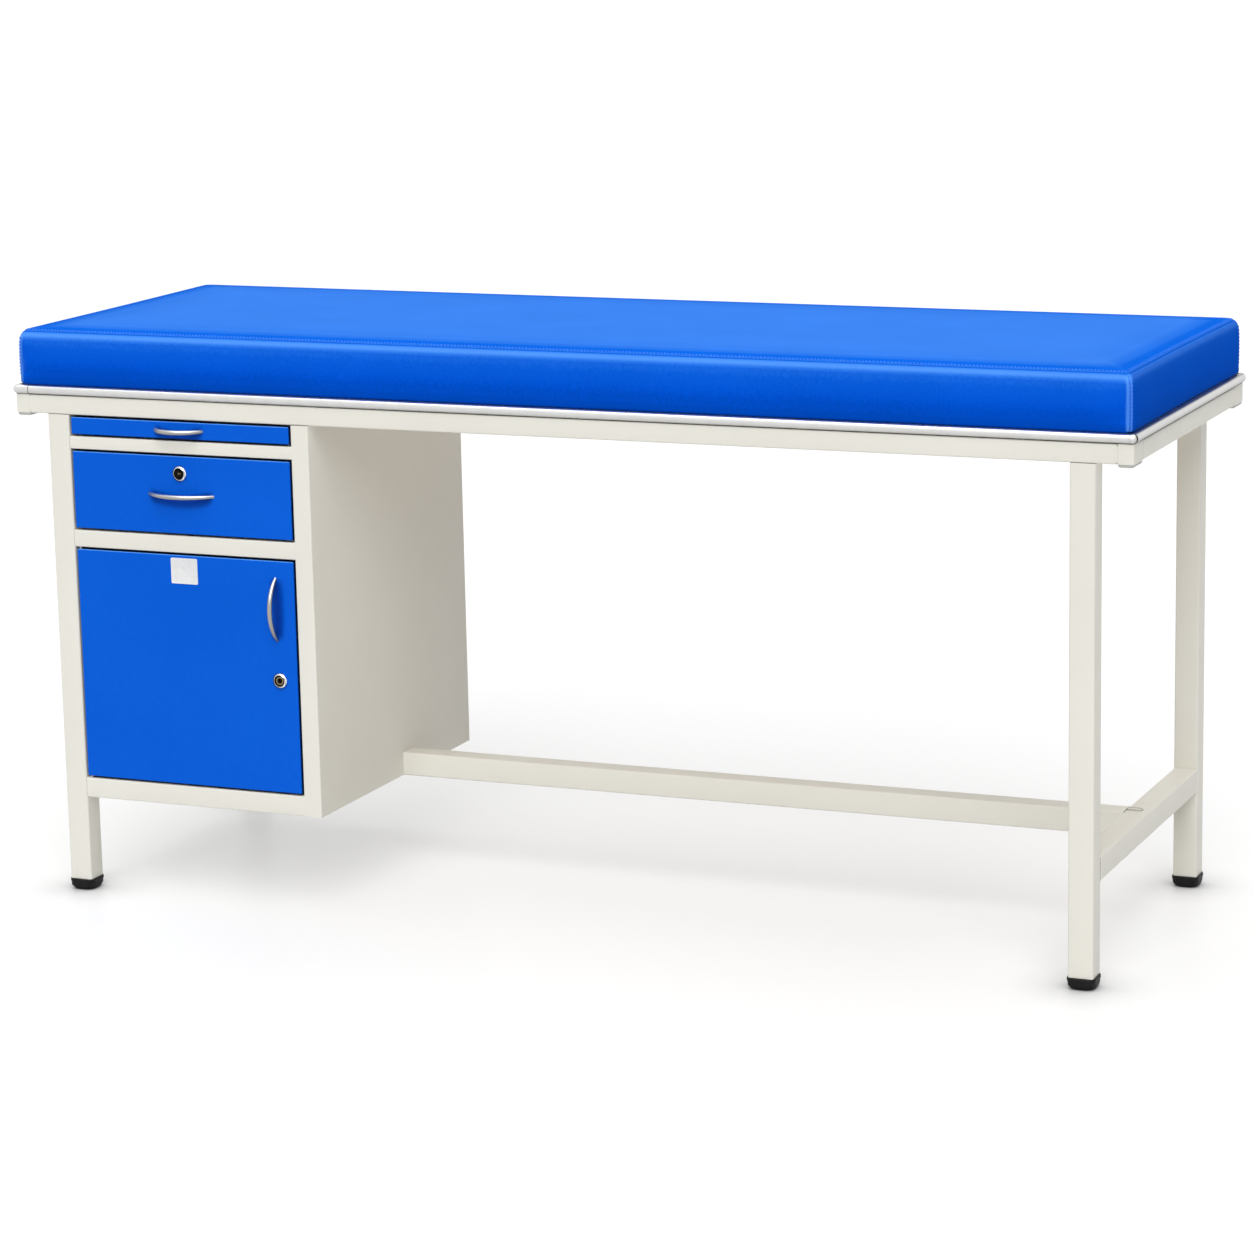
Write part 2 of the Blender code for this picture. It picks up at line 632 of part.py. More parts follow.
def add_runners(table, steel):
    """Angles that carry the tray between front rail and back, and the drawer on the divider."""
    length = BEFORE_BACK - BEHIND_RAILS
    tray_flange = UPPER_RAIL_TOP + TRAY_LIFT - RUN
    web_low = tray_flange - TRAY_WEB / 2
    web_high = tray_flange + TRAY_WEB / 2
    tray = [
        (0, web_low),
        (RUNNER_SHEET, web_low),
        (RUNNER_SHEET, tray_flange - RUNNER_SHEET),
        (RUNNER_FLANGE, tray_flange - RUNNER_SHEET),
        (RUNNER_FLANGE, tray_flange),
        (RUNNER_SHEET, tray_flange),
        (RUNNER_SHEET, web_high),
        (0, web_high),
    ]
    seat = MIDDLE_RAIL_TOP + FIT
    drawer = [
        (0, seat),
        (RUNNER_FLANGE, seat),
        (RUNNER_FLANGE, seat + RUNNER_SHEET),
        (RUNNER_SHEET, seat + RUNNER_SHEET),
        (RUNNER_SHEET, seat + DRAWER_WEB),
        (0, seat + DRAWER_WEB),
    ]
    outside = SLIDE_WIDTH / 2 + RUN + RUNNER_SHEET
    for group, section in (("tray", tray), ("drawer", drawer)):
        for side, name in ((-1, "left"), (1, "right")):
            outline = [(side * (outside - across), height) for across, height in section]
            mesh = extruded(outline, length, "Y")
            place = (OPENING_MIDDLE, BEHIND_RAILS, 0)
            piece(group + "_runner_" + name, mesh, steel, table, place)


def add_front(name, height, blue, parent, place=(0, 0, 0)):
    """A folded sheet front, open to the back, with its face at y = 0."""
    mesh = open_box(FRONT_WIDTH, height, FRONT_DEPTH, SHEET, FRONT_ROUND)
    return piece(name, mesh, blue, parent, place, ALONG_Y)


def hole(name, radius, length, parent, place, turn=(0, 0, 0), steps=PIN_STEPS):
    """A round cutter, centred on its place."""
    profile = [(0, length / 2), (radius, length / 2), (radius, -length / 2), (0, -length / 2)]
    return piece(name, turned(profile, steps), None, parent, place, turn)


def add_lock(name, front, axis, parent, rest_angle, chrome, black):
    """A cam lock through a front: its body stays with the front, and its plug turns on the axis."""
    rear = CAM_START - FIT
    body = [
        (LOCK_BORE, -LOCK_PROUD),
        (LOCK_BEZEL - LOCK_CHAMFER, -LOCK_PROUD),
        (LOCK_BEZEL, -LOCK_PROUD + LOCK_CHAMFER),
        (LOCK_BEZEL, -FIT),
        (LOCK_BARREL, -FIT),
        (LOCK_BARREL, rear),
        (LOCK_BORE, rear),
    ]
    mesh = turned(body, LOCK_STEPS, ring=True)
    piece(name + "_body", mesh, chrome, parent, axis.location, ALONG_Y)
    cutter = hole(
        name + "_hole", LOCK_BARREL + FIT, 4 * SHEET, parent, axis.location, ALONG_Y, LOCK_STEPS
    )
    combine(front, cutter, "DIFFERENCE")
    radius = LOCK_BORE - FIT
    plug = [
        (0, LOCK_RECESS - LOCK_PROUD),
        (radius, LOCK_RECESS - LOCK_PROUD),
        (radius, CAM_START + CAM_THICK),
        (0, CAM_START + CAM_THICK),
    ]
    core = piece(name + "_plug", turned(plug, LOCK_STEPS), black, axis, (0, 0, 0), ALONG_Y)
    bar_length = CAM_LENGTH + CAM_WIDTH / 2
    bar = rounded_rectangle(bar_length, CAM_WIDTH, CAM_WIDTH / 2, TAB_STEPS)
    middle = CAM_LENGTH / 2 - CAM_WIDTH / 4
    cam = [
        (
            (x + middle) * math.cos(rest_angle) - y * math.sin(rest_angle),
            (x + middle) * math.sin(rest_angle) + y * math.cos(rest_angle),
        )
        for x, y in bar
    ]
    inner = CAM_THICK - FIT
    helper = piece(name + "_cam", extruded(cam, inner, "Y"), black, axis, (0, CAM_START, 0))
    combine(core, helper, "UNION")
    half_long = KEYWAY_LENGTH / 2
    half_wide = KEYWAY_WIDTH / 2
    slot = extruded(
        rectangle(-half_wide, -half_long, half_wide, half_long), 2 * KEYWAY_DEPTH, "Y"
    )
    place = (0, LOCK_RECESS - LOCK_PROUD - KEYWAY_DEPTH, 0)
    combine(core, piece(name + "_keyway", slot, black, axis, place), "DIFFERENCE")


def add_tray(table, blue, ivory, nickel):
    height = TRAY_OPENING - 2 * FRONT_GAP
    middle = UPPER_RAIL_TOP + TRAY_OPENING / 2
    tray = pivot("tray_slide", (OPENING_MIDDLE, FACE, middle), table)
    add_front("tray_front", height, blue, tray)
    mesh = open_box(SLIDE_WIDTH, TRAY_LENGTH, TRAY_WALL, SHEET)
    lift_up = UPPER_RAIL_TOP + TRAY_LIFT - middle
    place = (0, FRONT_DEPTH + FIT + TRAY_LENGTH / 2, lift_up)
    piece("tray_pan", mesh, ivory, tray, place)
    piece("tray_handle", bow(TRAY_HANDLE), nickel, tray, (0, -FIT, 0))


def add_drawer(table, blue, ivory, nickel, chrome, black):
    height = DRAWER_OPENING - 2 * FRONT_GAP
    middle = MIDDLE_RAIL_TOP + DRAWER_OPENING / 2
    drawer = pivot("drawer_slide", (OPENING_MIDDLE, FACE, middle), table)
    front = add_front("drawer_front", height, blue, drawer)
    mesh = open_box(SLIDE_WIDTH, DRAWER_LENGTH, DRAWER_WALL, SHEET)
    lift_up = MIDDLE_RAIL_TOP + FIT + RUNNER_SHEET + RUN - middle
    place = (0, FRONT_DEPTH + FIT + DRAWER_LENGTH / 2, lift_up)
    piece("drawer_box", mesh, ivory, drawer, place)
    mesh = bow(DRAWER_HANDLE)
    piece("drawer_handle", mesh, nickel, drawer, (0, -FIT, 0))
    axis = pivot("drawer_lock_axis", (0, 0, height / 2 - DRAWER_LOCK_DROP), drawer)
    add_lock("drawer_lock", front, axis, drawer, math.pi, chrome, black)


def add_door(table, rails, blue, steel, nickel, chrome, black, silver):
    height = DOOR_OPENING_TOP - LOWER_RAIL_TOP - 2 * FRONT_GAP
    middle = (DOOR_OPENING_TOP + LOWER_RAIL_TOP) / 2
    hinge_x = OPENING_LEFT + FRONT_GAP + PIVOT_SIDE
    hinge = pivot("door_axis", (hinge_x, FACE + PIVOT_DEPTH, middle), table)
    centre_x = FRONT_WIDTH / 2 - PIVOT_SIDE
    right_x = FRONT_WIDTH - PIVOT_SIDE
    panel = add_front("door_panel", height, blue, hinge, (centre_x, -PIVOT_DEPTH, 0))
    mesh = bow(DOOR_HANDLE)
    handle_z = height / 2 - DOOR_HANDLE_TOP - DOOR_HANDLE / 2
    place = (right_x - DOOR_HANDLE_SIDE, -PIVOT_DEPTH - FIT, handle_z)
    piece("door_handle", mesh, nickel, hinge, place, (0, QUARTER, 0))
    outline = rounded_rectangle(PLATE_WIDTH, PLATE_HEIGHT, PLATE_ROUND, TUBE_STEPS)
    place = (
        centre_x,
        -PIVOT_DEPTH - FIT - PLATE_THICK,
        height / 2 - PLATE_DROP - PLATE_HEIGHT / 2,
    )
    piece("door_plate", extruded(outline, PLATE_THICK, "Y"), silver, hinge, place)
    place = (right_x - DOOR_LOCK_SIDE, -PIVOT_DEPTH, height / 2 - DOOR_LOCK_DROP)
    axis = pivot("door_lock_axis", place, hinge)
    add_lock("door_lock", panel, axis, hinge, -QUARTER, chrome, black)
    add_pins(table, hinge, rails, panel, steel)


def add_pins(table, hinge, rails, panel, steel):
    """Riveted pins through the rails' flanges, which carry the door at its top and bottom."""
    x, y, _ = hinge.location
    top = DOOR_OPENING_TOP
    head = top + SHEET + FIT
    tip = top - FRONT_GAP - PIN_REACH
    profile = [
        (0, head + PIN_HEAD_THICK),
        (PIN_HEAD, head + PIN_HEAD_THICK),
        (PIN_HEAD, head),
        (PIN_RADIUS, head),
        (PIN_RADIUS, tip),
        (0, tip),
    ]
    piece("door_pin_top", turned(profile, PIN_STEPS), steel, table, (x, y, 0))
    bottom = LOWER_RAIL_TOP
    head = bottom - SHEET - FIT
    tip = bottom + FRONT_GAP + PIN_REACH
    profile = [
        (0, tip),
        (PIN_RADIUS, tip),
        (PIN_RADIUS, bottom + FRONT_GAP - FIT),
        (PIN_COLLAR, bottom + FRONT_GAP - FIT),
        (PIN_COLLAR, bottom + FIT),
        (PIN_RADIUS, bottom + FIT),
        (PIN_RADIUS, head),
        (PIN_HEAD, head),
        (PIN_HEAD, head - PIN_HEAD_THICK),
        (0, head - PIN_HEAD_THICK),
    ]
    piece("door_pin_bottom", turned(profile, PIN_STEPS), steel, table, (x, y, 0))
    bore = PIN_RADIUS + FIT
    for name, rail, level, edge in (
        ("top", rails["middle"], top + SHEET / 2, top - FRONT_GAP - SHEET / 2),
        ("bottom", rails["lower"], bottom - SHEET / 2, bottom + FRONT_GAP + SHEET / 2),
    ):
        cutter = hole("pin_hole_rail_" + name, bore, 2 * SHEET, table, (x, y, level))
        combine(rail, cutter, "DIFFERENCE")
        place = (0, 0, edge - hinge.location.z)
        cutter = hole("pin_hole_door_" + name, bore, 2 * SHEET, hinge, place)
        combine(panel, cutter, "DIFFERENCE")


def build_table():
    clear_scene()
    ivory = finish("ivory_powder_coat", (0.83, 0.82, 0.77), 0.42)
    blue = finish("blue_gloss_paint", (0.01, 0.12, 0.75), 0.28)
    vinyl = finish("blue_vinyl", (0.005, 0.11, 0.80), 0.38)
    foam = finish("pale_foam", (0.85, 0.80, 0.62), 0.95)
    board = finish("plywood", (0.55, 0.38, 0.22), 0.75)
    aluminium = finish("satin_aluminium", (0.80, 0.80, 0.79), 0.33, 1.0)
    nickel = finish("satin_nickel", (0.74, 0.72, 0.68), 0.28, 1.0)
    chrome = finish("polished_chrome", (0.86, 0.86, 0.87), 0.08, 1.0)
    steel = finish("zinc_plated_steel", (0.62, 0.63, 0.65), 0.40, 1.0)
    rubber = finish("black_rubber", (0.012, 0.012, 0.013), 0.65)
    black = finish("blackened_brass", (0.015, 0.014, 0.013), 0.35, 0.4)
    grey = finish("grey_plastic", (0.46, 0.47, 0.45), 0.50)
    silver = finish("blank_plate", (0.72, 0.73, 0.72), 0.35, 0.6)
    table = pivot("examination_table", (0, MIDDLE_SHIFT, 0))
    add_frame(table, ivory, grey)
    add_legs(table, ivory, rubber)
    add_stretchers(table, ivory)
    add_deck(table, board, aluminium)
    add_mattress(table, vinyl, foam)
    rails = add_cabinet(table, ivory)
    add_runners(table, steel)
    add_tray(table, blue, ivory, nickel)
    add_drawer(table, blue, ivory, nickel, chrome, black)
    add_door(table, rails, blue, steel, nickel, chrome, black, silver)


build_table()
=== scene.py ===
# Looks of the examination table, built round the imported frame: metres, +Z up, the front faces -Y
import json
import math

import bmesh
import bpy
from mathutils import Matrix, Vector

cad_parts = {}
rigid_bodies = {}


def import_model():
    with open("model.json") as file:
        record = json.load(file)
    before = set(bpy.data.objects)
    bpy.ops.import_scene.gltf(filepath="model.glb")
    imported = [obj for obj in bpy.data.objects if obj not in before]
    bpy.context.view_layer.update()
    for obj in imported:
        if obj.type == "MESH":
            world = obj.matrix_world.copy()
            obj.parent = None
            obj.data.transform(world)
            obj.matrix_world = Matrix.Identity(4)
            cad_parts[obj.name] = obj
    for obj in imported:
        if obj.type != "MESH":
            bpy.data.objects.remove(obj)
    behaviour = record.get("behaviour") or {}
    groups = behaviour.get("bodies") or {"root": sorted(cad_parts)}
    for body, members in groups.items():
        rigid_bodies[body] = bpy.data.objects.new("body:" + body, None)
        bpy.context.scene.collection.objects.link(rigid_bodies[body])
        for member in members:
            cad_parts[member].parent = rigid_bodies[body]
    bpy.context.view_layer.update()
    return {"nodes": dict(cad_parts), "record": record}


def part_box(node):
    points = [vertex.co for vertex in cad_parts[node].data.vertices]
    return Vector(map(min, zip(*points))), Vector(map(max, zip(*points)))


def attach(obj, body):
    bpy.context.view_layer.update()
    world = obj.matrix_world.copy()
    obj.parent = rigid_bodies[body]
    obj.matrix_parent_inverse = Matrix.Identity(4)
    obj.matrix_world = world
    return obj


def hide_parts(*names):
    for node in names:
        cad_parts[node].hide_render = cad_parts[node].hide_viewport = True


for spare in list(bpy.data.objects):
    bpy.data.objects.remove(spare, do_unlink=True)
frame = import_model()
nodes = frame["nodes"]
bodies = frame["record"]["behaviour"]["bodies"]
bodyOf = {node: body for body, members in bodies.items() for node in members}
corners = ("front_left", "front_right", "rear_left", "rear_right")
scene = bpy.context.scene
quarter = math.pi / 2
mm = 0.001
white = (1, 1, 1, 1)


def addObject(name, data):
    thing = bpy.data.objects.new(name, data)
    scene.collection.objects.link(thing)
    return thing


def inRadians(angles):
    return [math.radians(angle) for angle in angles]


def span(node):
    low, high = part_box(node)
    return low, high, (low + high) / 2, high - low


def spanAlong(node, axis):
    # both ends along an axis, the centre line, and the size across in the order of layAlong
    low, high, middle, size = span(node)
    way = "XYZ".index(axis)
    middle[way] = 0
    return low[way], high[way], middle, [size[i] for i in range(3) if i != way]


# Camera at the photograph's viewing angle, for a square picture
camera = {
    "place": (2.3802, -5.5758, 1.7045),
    "turn": (78.089, 1.132, 22.844),
    "lens": 112.56,
    "sensor": 36,
    "farEnd": 400,
}


def setCamera():
    data = bpy.data.cameras.new("camera")
    data.lens = camera["lens"]
    data.sensor_width = camera["sensor"]
    data.clip_end = camera["farEnd"]
    view = addObject("camera", data)
    view.location = camera["place"]
    view.rotation_euler = inRadians(camera["turn"])
    scene.camera = view


# Shader helpers: an owner is a material or the world, and every pattern is in the piece's own metres
def newFinish(name, sockets):
    finish = bpy.data.materials.new(name)
    finish.use_nodes = True
    shader = finish.node_tree.nodes["Principled BSDF"]
    for socket, value in sockets.items():
        shader.inputs[socket].default_value = value
    return finish


def addNode(owner, kind, inputs, **settings):
    tree = owner.node_tree
    node = tree.nodes.new(kind)
    for key, value in settings.items():
        setattr(node, key, value)
    for socket, value in inputs.items():
        if isinstance(value, bpy.types.NodeSocket):
            tree.links.new(value, node.inputs[socket])
        else:
            node.inputs[socket].default_value = value
    return node


def joinTo(finish, socket, value):
    shader = finish.node_tree.nodes["Principled BSDF"]
    finish.node_tree.links.new(value, shader.inputs[socket])


def coated(finish, colour, dull=None, bump=None):
    # what a finish ends with: its colour, its roughness and its relief
    for socket, value in (("Base Color", colour), ("Roughness", dull), ("Normal", bump)):
        if value is not None:
            joinTo(finish, socket, value)
    return finish


def calc(owner, operation, *values):
    return addNode(owner, "ShaderNodeMath", dict(enumerate(values)), operation=operation).outputs[0]


def mixed(owner, value, first, second, way="MIX"):
    inputs = {"Fac": value, "Color1": first, "Color2": second}
    return addNode(owner, "ShaderNodeMixRGB", inputs, blend_type=way).outputs[0]


def openness(owner, reach):
    # how clear a spot is of what stands near it: the grey or colour, and a number
    return addNode(owner, "ShaderNodeAmbientOcclusion", {"Distance": reach}, samples=6)


def placeIn(finish, stretch=(1, 1, 1)):
    where = addNode(finish, "ShaderNodeTexCoord", {}).outputs["Object"]
    return addNode(finish, "ShaderNodeMapping", {"Vector": where, "Scale": stretch}).outputs[0]


def cloud(finish, scale, detail=2.0, stretch=(1, 1, 1)):
    inputs = {"Vector": placeIn(finish, stretch), "Scale": scale, "Detail": detail}
    return addNode(finish, "ShaderNodeTexNoise", inputs).outputs[0]


def cells(finish, scale, feature="F1"):
    inputs = {"Vector": placeIn(finish), "Scale": scale}
    return addNode(finish, "ShaderNodeTexVoronoi", inputs, feature=feature).outputs["Distance"]


def between(finish, value, low, high, start=0.3, end=0.7):
    inputs = {"Value": value, "From Min": start, "From Max": end, "To Min": low, "To Max": high}
    return addNode(finish, "ShaderNodeMapRange", inputs).outputs[0]


def tonesBy(finish, value, tones):
    # colours by a value between 0 and 1
    ramp = addNode(finish, "ShaderNodeValToRGB", {"Fac": value})
    stops = ramp.color_ramp.elements
    while len(stops) < len(tones):
        stops.new(0.5)
    for stop, (at, colour) in zip(stops, tones):
        stop.position = at
        stop.color = (*colour, 1)
    return ramp.outputs["Color"]


def blendColours(finish, value, first, second, start=0.3, end=0.7):
    return tonesBy(finish, value, ((start, first), (end, second)))


def facingAlong(finish, way):
    # how far the surface faces along a direction, from -1 to 1
    normal = addNode(finish, "ShaderNodeNewGeometry", {}).outputs["Normal"]
    dot = addNode(finish, "ShaderNodeVectorMath", {0: normal, 1: way}, operation="DOT_PRODUCT")
    return dot.outputs["Value"]


def relief(finish, height, depth, below=None):
    inputs = {"Height": height, "Distance": depth}
    if below is not None:
        inputs["Normal"] = below
    return addNode(finish, "ShaderNodeBump", inputs).outputs["Normal"]


# Soft light from above and from the front, on a white floor that keeps the shadow
studio = {
    "ambient": 0.17,
    "suns": {  # strength, spread and turn, in degrees
        "top light": (1.52, 62, (0, 0, 0)),
        "front light": (2.02, 45, (46, 0, 17)),
    },
    "floorColour": (0.80, 0.80, 0.80, 1),
    "floorShade": (0.50, 0.50, 0.50, 1),  # how much of the light and shadow the floor shows
    "floorGlow": 0.46,
    "floorDull": 0.35,
    "floorGloss": 0.05,
    "floorSize": 160,
    "floorDrop": 0.2 * mm,
    "contactReach": 0.1,  # how far the shade round each foot goes
}


def anyRay(owner):
    # 1 for what the camera, a reflection or a see-through surface looks at
    path = addNode(owner, "ShaderNodeLightPath", {}).outputs
    seen = calc(owner, "MAXIMUM", path["Is Camera Ray"], path["Is Glossy Ray"])
    return calc(owner, "MAXIMUM", seen, path["Is Transmission Ray"])


def setWorld():
    world = bpy.data.worlds.new("studio")
    world.use_nodes = True
    scene.world = world
    tree = world.node_tree
    bright = tree.nodes["Background"]
    bright.inputs["Color"].default_value = white
    bright.inputs["Strength"].default_value = 1.0
    soft = addNode(world, "ShaderNodeBackground", {"Color": white, "Strength": studio["ambient"]})
    layers = {0: anyRay(world), 1: soft.outputs[0], 2: bright.outputs[0]}
    both = addNode(world, "ShaderNodeMixShader", layers)
    tree.links.new(both.outputs[0], tree.nodes["World Output"].inputs["Surface"])


def setSuns():
    for name, (strength, spread, turn) in studio["suns"].items():
        data = bpy.data.lights.new(name, "SUN")
        data.energy = strength
        data.angle = math.radians(spread)
        addObject(name, data).rotation_euler = inRadians(turn)


def setFloor():
    mesh = bmesh.new()
    bmesh.ops.create_grid(mesh, x_segments=1, y_segments=1, size=studio["floorSize"] / 2)
    sockets = {
        "Roughness": studio["floorDull"],
        "Specular IOR Level": studio["floorGloss"],
        "Emission Color": white,
    }
    paper = newFinish("white floor", sockets)
    seen = anyRay(paper)
    contact = openness(paper, studio["contactReach"])
    contact.inputs["Color"].default_value = studio["floorShade"]
    joinTo(paper, "Base Color", mixed(paper, seen, studio["floorColour"], contact.outputs["Color"]))
    lit = calc(paper, "MULTIPLY", seen, contact.outputs["AO"])
    joinTo(paper, "Emission Strength", calc(paper, "MULTIPLY", lit, studio["floorGlow"]))
    floor = meshObject("floor", mesh, paper)
    floor.location.z = -studio["floorDrop"]


# Mesh helpers
leastRadius = 0.2 * mm


def meshObject(name, mesh, finish):
    data = bpy.data.meshes.new(name)
    mesh.to_mesh(data)
    mesh.free()
    data.materials.append(finish)
    return addObject(name, data)


def makePiece(name, mesh, finish, sharp=38):
    bmesh.ops.recalc_face_normals(mesh, faces=mesh.faces)
    piece = meshObject(name, mesh, finish)
    piece.data.shade_smooth()
    piece.data.set_sharp_from_angle(angle=math.radians(sharp))
    return piece


def standFor(piece, slot, *replaced):
    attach(piece, bodyOf[replaced[0]])
    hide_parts(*replaced)


def addTo(piece, body):
    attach(piece, body)


def circle(steps):
    angles = [2 * math.pi * step / steps for step in range(steps)]
    return [(math.cos(angle), math.sin(angle)) for angle in angles]


def roundOutline(width, depth, radius, steps):
    points = []
    for corner, (sideU, sideV) in enumerate(((1, 1), (-1, 1), (-1, -1), (1, -1))):
        middleU = sideU * (width / 2 - radius)
        middleV = sideV * (depth / 2 - radius)
        for step in range(steps + 1):
            angle = quarter * (corner + step / steps)
            points.append((middleU + radius * math.cos(angle), middleV + radius * math.sin(angle)))
    return points


def layAlong(axis, u, v, w):
    return Vector({"X": (w, u, v), "Y": (u, w, v), "Z": (u, v, w)}[axis])


def toLeft(way):
    return Vector((-way.y, way.x))


def addSkin(mesh, loops, ring=False):
    # joins loops of equal count, and caps the two ends unless it closes on itself
    rows = [[mesh.verts.new(point) for point in loop] for loop in loops]
    pairs = list(zip(rows, rows[1:]))
    if ring:
        pairs.append((rows[-1], rows[0]))
    else:
        mesh.faces.new(rows[0])
        mesh.faces.new(rows[-1])
    for near, far in pairs:
        for i in range(len(near)):
            mesh.faces.new((near[i - 1], near[i], far[i], far[i - 1]))
    return mesh


def skin(loops, ring=False):
    return addSkin(bmesh.new(), loops, ring)


def stacked(axis, centre, size, levels, steps, ring=False):
    # levels are (inset of the size, corner radius, place along the axis)
    loops = []
    for inset, radius, at in levels:
        outline = roundOutline(size[0] - inset, size[1] - inset, max(radius, leastRadius), steps)
        loops.append([centre + layAlong(axis, u, v, at) for u, v in outline])
    return skin(loops, ring)


def turned(centre, profile, steps, ring=False):
    # profile is (radius, y from the centre), turned about the Y axis
    loops = []
    for radius, depth in profile:
        loops.append([centre + Vector((radius * u, depth, radius * v)) for u, v in circle(steps)])
    return skin(loops, ring)


def carve(piece, cutter):
    # cuts a helper out of a piece and keeps only the result
    change = piece.modifiers.new("cut", "BOOLEAN")
    change.object = cutter
    change.operation = "DIFFERENCE"
    change.solver = "EXACT"
    graph = bpy.context.evaluated_depsgraph_get()
    result = bpy.data.meshes.new_from_object(piece.evaluated_get(graph))
    piece.modifiers.remove(change)
    piece.data = result
    bpy.data.objects.remove(cutter, do_unlink=True)


scene.view_settings.view_transform = "Standard"
setCamera()
setWorld()
setSuns()
setFloor()
print("camera, lights and floor set")


# Satin ivory powder coat: faint orange peel, a slight drift of tone, and dark lines of painted shade in
# joints and gaps
ivorySettings = {
    "pale": (0.800, 0.784, 0.712),
    "deep": (0.775, 0.757, 0.682),
    "toneBy": (5, 4),  # scale and detail of a pattern, here and below
    "gloss": 0.4,
    "dull": (0.36, 0.46),
    "dullBy": (38, 3),
    # painted shade: joints and gaps darken to this colour where they are closed in
    "gapShadeColour": (0.060, 0.060, 0.064, 1),
    "gapShadeReach": 2.5 * mm,
    "gapShadeFade": (0.15, 0.6),  # how open a spot is where the dark ends
    "waveScale": 26,
    "waveDepth": 0.10 * mm,
    "peelScale": 520,
    "peelDepth": 0.016 * mm,
}


def orangePeel(finish, s):
    wave = relief(finish, cloud(finish, s["waveScale"], 1), s["waveDepth"])
    return relief(finish, cloud(finish, s["peelScale"], 1), s["peelDepth"], wave)


def ivoryFinish():
    s = ivorySettings
    finish = newFinish("ivory powder coat", {"Specular IOR Level": s["gloss"]})
    coat = blendColours(finish, cloud(finish, *s["toneBy"]), s["deep"], s["pale"])
    # painted shade: darker in joints and gaps, by how closed in each spot is
    near = openness(finish, s["gapShadeReach"]).outputs["AO"]
    colour = mixed(finish, between(finish, near, 0, 1, *s["gapShadeFade"]), s["gapShadeColour"], coat)
    dull = between(finish, cloud(finish, *s["dullBy"]), *s["dull"])
    return coated(finish, colour, dull, orangePeel(finish, s))


# Blue gloss paint on the tray, drawer and door
paintSettings = {
    "pale": (0.0022, 0.114, 0.690),
    "deep": (0.0014, 0.104, 0.650),
    "toneBy": (4, 3),
    "gloss": 0.04,
    "dull": (0.24, 0.32),
    "dullBy": (60, 2),
    "edge": (0.110, 0.360, 0.960, 1),  # painted highlight where an edge turns up
    "highlightTurn": (0.25, 0.75),
    "shade": (0.0006, 0.040, 0.330, 1),  # soft shade under the handles
    "shadeDrop": -10.5 * mm,  # from a level handle's axis
    "shadeSide": 3 * mm,  # from an upright handle's axis
    "shadeWidth": 13 * mm,
    "shadeFade": 0.4,  # towards the handle's ends
    "waveScale": 14,
    "waveDepth": 0.02 * mm,
    "peelScale": 430,
    "peelDepth": 0.005 * mm,
}


def hump(finish, value):
    # 1 where the value is 0, down to 0 where it is -1 or 1
    square = calc(finish, "MULTIPLY", value, value)
    return calc(finish, "MAXIMUM", calc(finish, "SUBTRACT", 1.0, square), 0.0)


def handleShade(finish, node):
    # 1 along the bow-shaped shade behind a handle, 0 away from it
    s = paintSettings
    middle, size = span(node)[2:]
    where = addNode(finish, "ShaderNodeTexCoord", {}).outputs["Object"]
    place = addNode(finish, "ShaderNodeSeparateXYZ", {0: where}).outputs
    along = calc(finish, "SUBTRACT", place["X"], middle.x)
    across = calc(finish, "SUBTRACT", place["Z"], middle.z)
    aside = s["shadeDrop"]
    if size.z > size.x:
        along, across = across, along
        aside = s["shadeSide"]
    arch = hump(finish, calc(finish, "DIVIDE", along, max(size.x, size.z) / 2))
    off = calc(finish, "MULTIPLY_ADD", arch, -aside, across)
    inside = hump(finish, calc(finish, "DIVIDE", off, s["shadeWidth"]))
    return calc(finish, "MULTIPLY", inside, between(finish, arch, 0, 1, 0, s["shadeFade"]))


def paintFinish():
    s = paintSettings
    finish = newFinish("blue gloss paint", {"Specular IOR Level": s["gloss"]})
    flat = blendColours(finish, cloud(finish, *s["toneBy"]), s["deep"], s["pale"])
    for group in ("tray", "drawer", "door"):
        flat = mixed(finish, handleShade(finish, group + "_handle"), flat, s["shade"])
    # painted highlight along edges that turn up
    turnedUp = between(finish, facingAlong(finish, (0, 0, 1)), 0, 1, *s["highlightTurn"])
    colour = mixed(finish, turnedUp, flat, s["edge"])
    dull = between(finish, cloud(finish, *s["dullBy"]), *s["dull"])
    return coated(finish, colour, dull, orangePeel(finish, s))


# Blue vinyl: a pressed leather grain, a little real sheen, and painted light, shade and sheen by how the
# cloth faces, on the shoulder and across the flat top
vinylSettings = {
    "sockets": {
        "Specular IOR Level": 0.0,
        "Sheen Weight": 0.4,
        "Sheen Roughness": 0.16,
        "Sheen Tint": (0.28, 0.72, 1.0, 1),
    },
    "tones": (  # degrees that the cloth leans away from level, and its colour there, as painted light and shade
        (0.8, (0.0480, 0.236, 0.900)),
        (4.5, (0.0040, 0.138, 0.785)),
        (30, (0.0060, 0.140, 0.760)),
        (50, (0.0550, 0.245, 0.870)),
        (68, (0.0820, 0.300, 0.945)),
        (76, (0.0450, 0.228, 0.860)),
        (82, (0.0170, 0.160, 0.775)),
        (86.5, (0.0032, 0.107, 0.697)),
        (89.4, (0.0014, 0.092, 0.670)),
        (90.6, (0.0006, 0.081, 0.618)),
        (93, (0.0005, 0.066, 0.500)),
    ),
    "end": (0.0030, 0.088, 0.610, 1),  # painted shade on the cloth of the two ends
    "endShadeTurn": (0, 0.6, 0.5, 0.9),  # its share, and how far the cloth faces there
    "corner": (0.130, 0.390, 1.000, 1),  # painted highlight beside the upright corner seams
    "cornerHighlightTurn": (0, 0.5, 0.06, 0.27),
    "wear": 0.94,
    "wearBy": (9, 5),
    "mottle": 0.05,  # how far the grain tilts the cloth, in radians
    "mottleBy": (260, 3),
    "dull": (0.36, 0.46),
    "dullBy": (22, 4),
    "grainScale": 640,
    "grainDepth": 0.03 * mm,
    "creaseBy": (70, 3),
    "creaseDepth": 0.03 * mm,
}


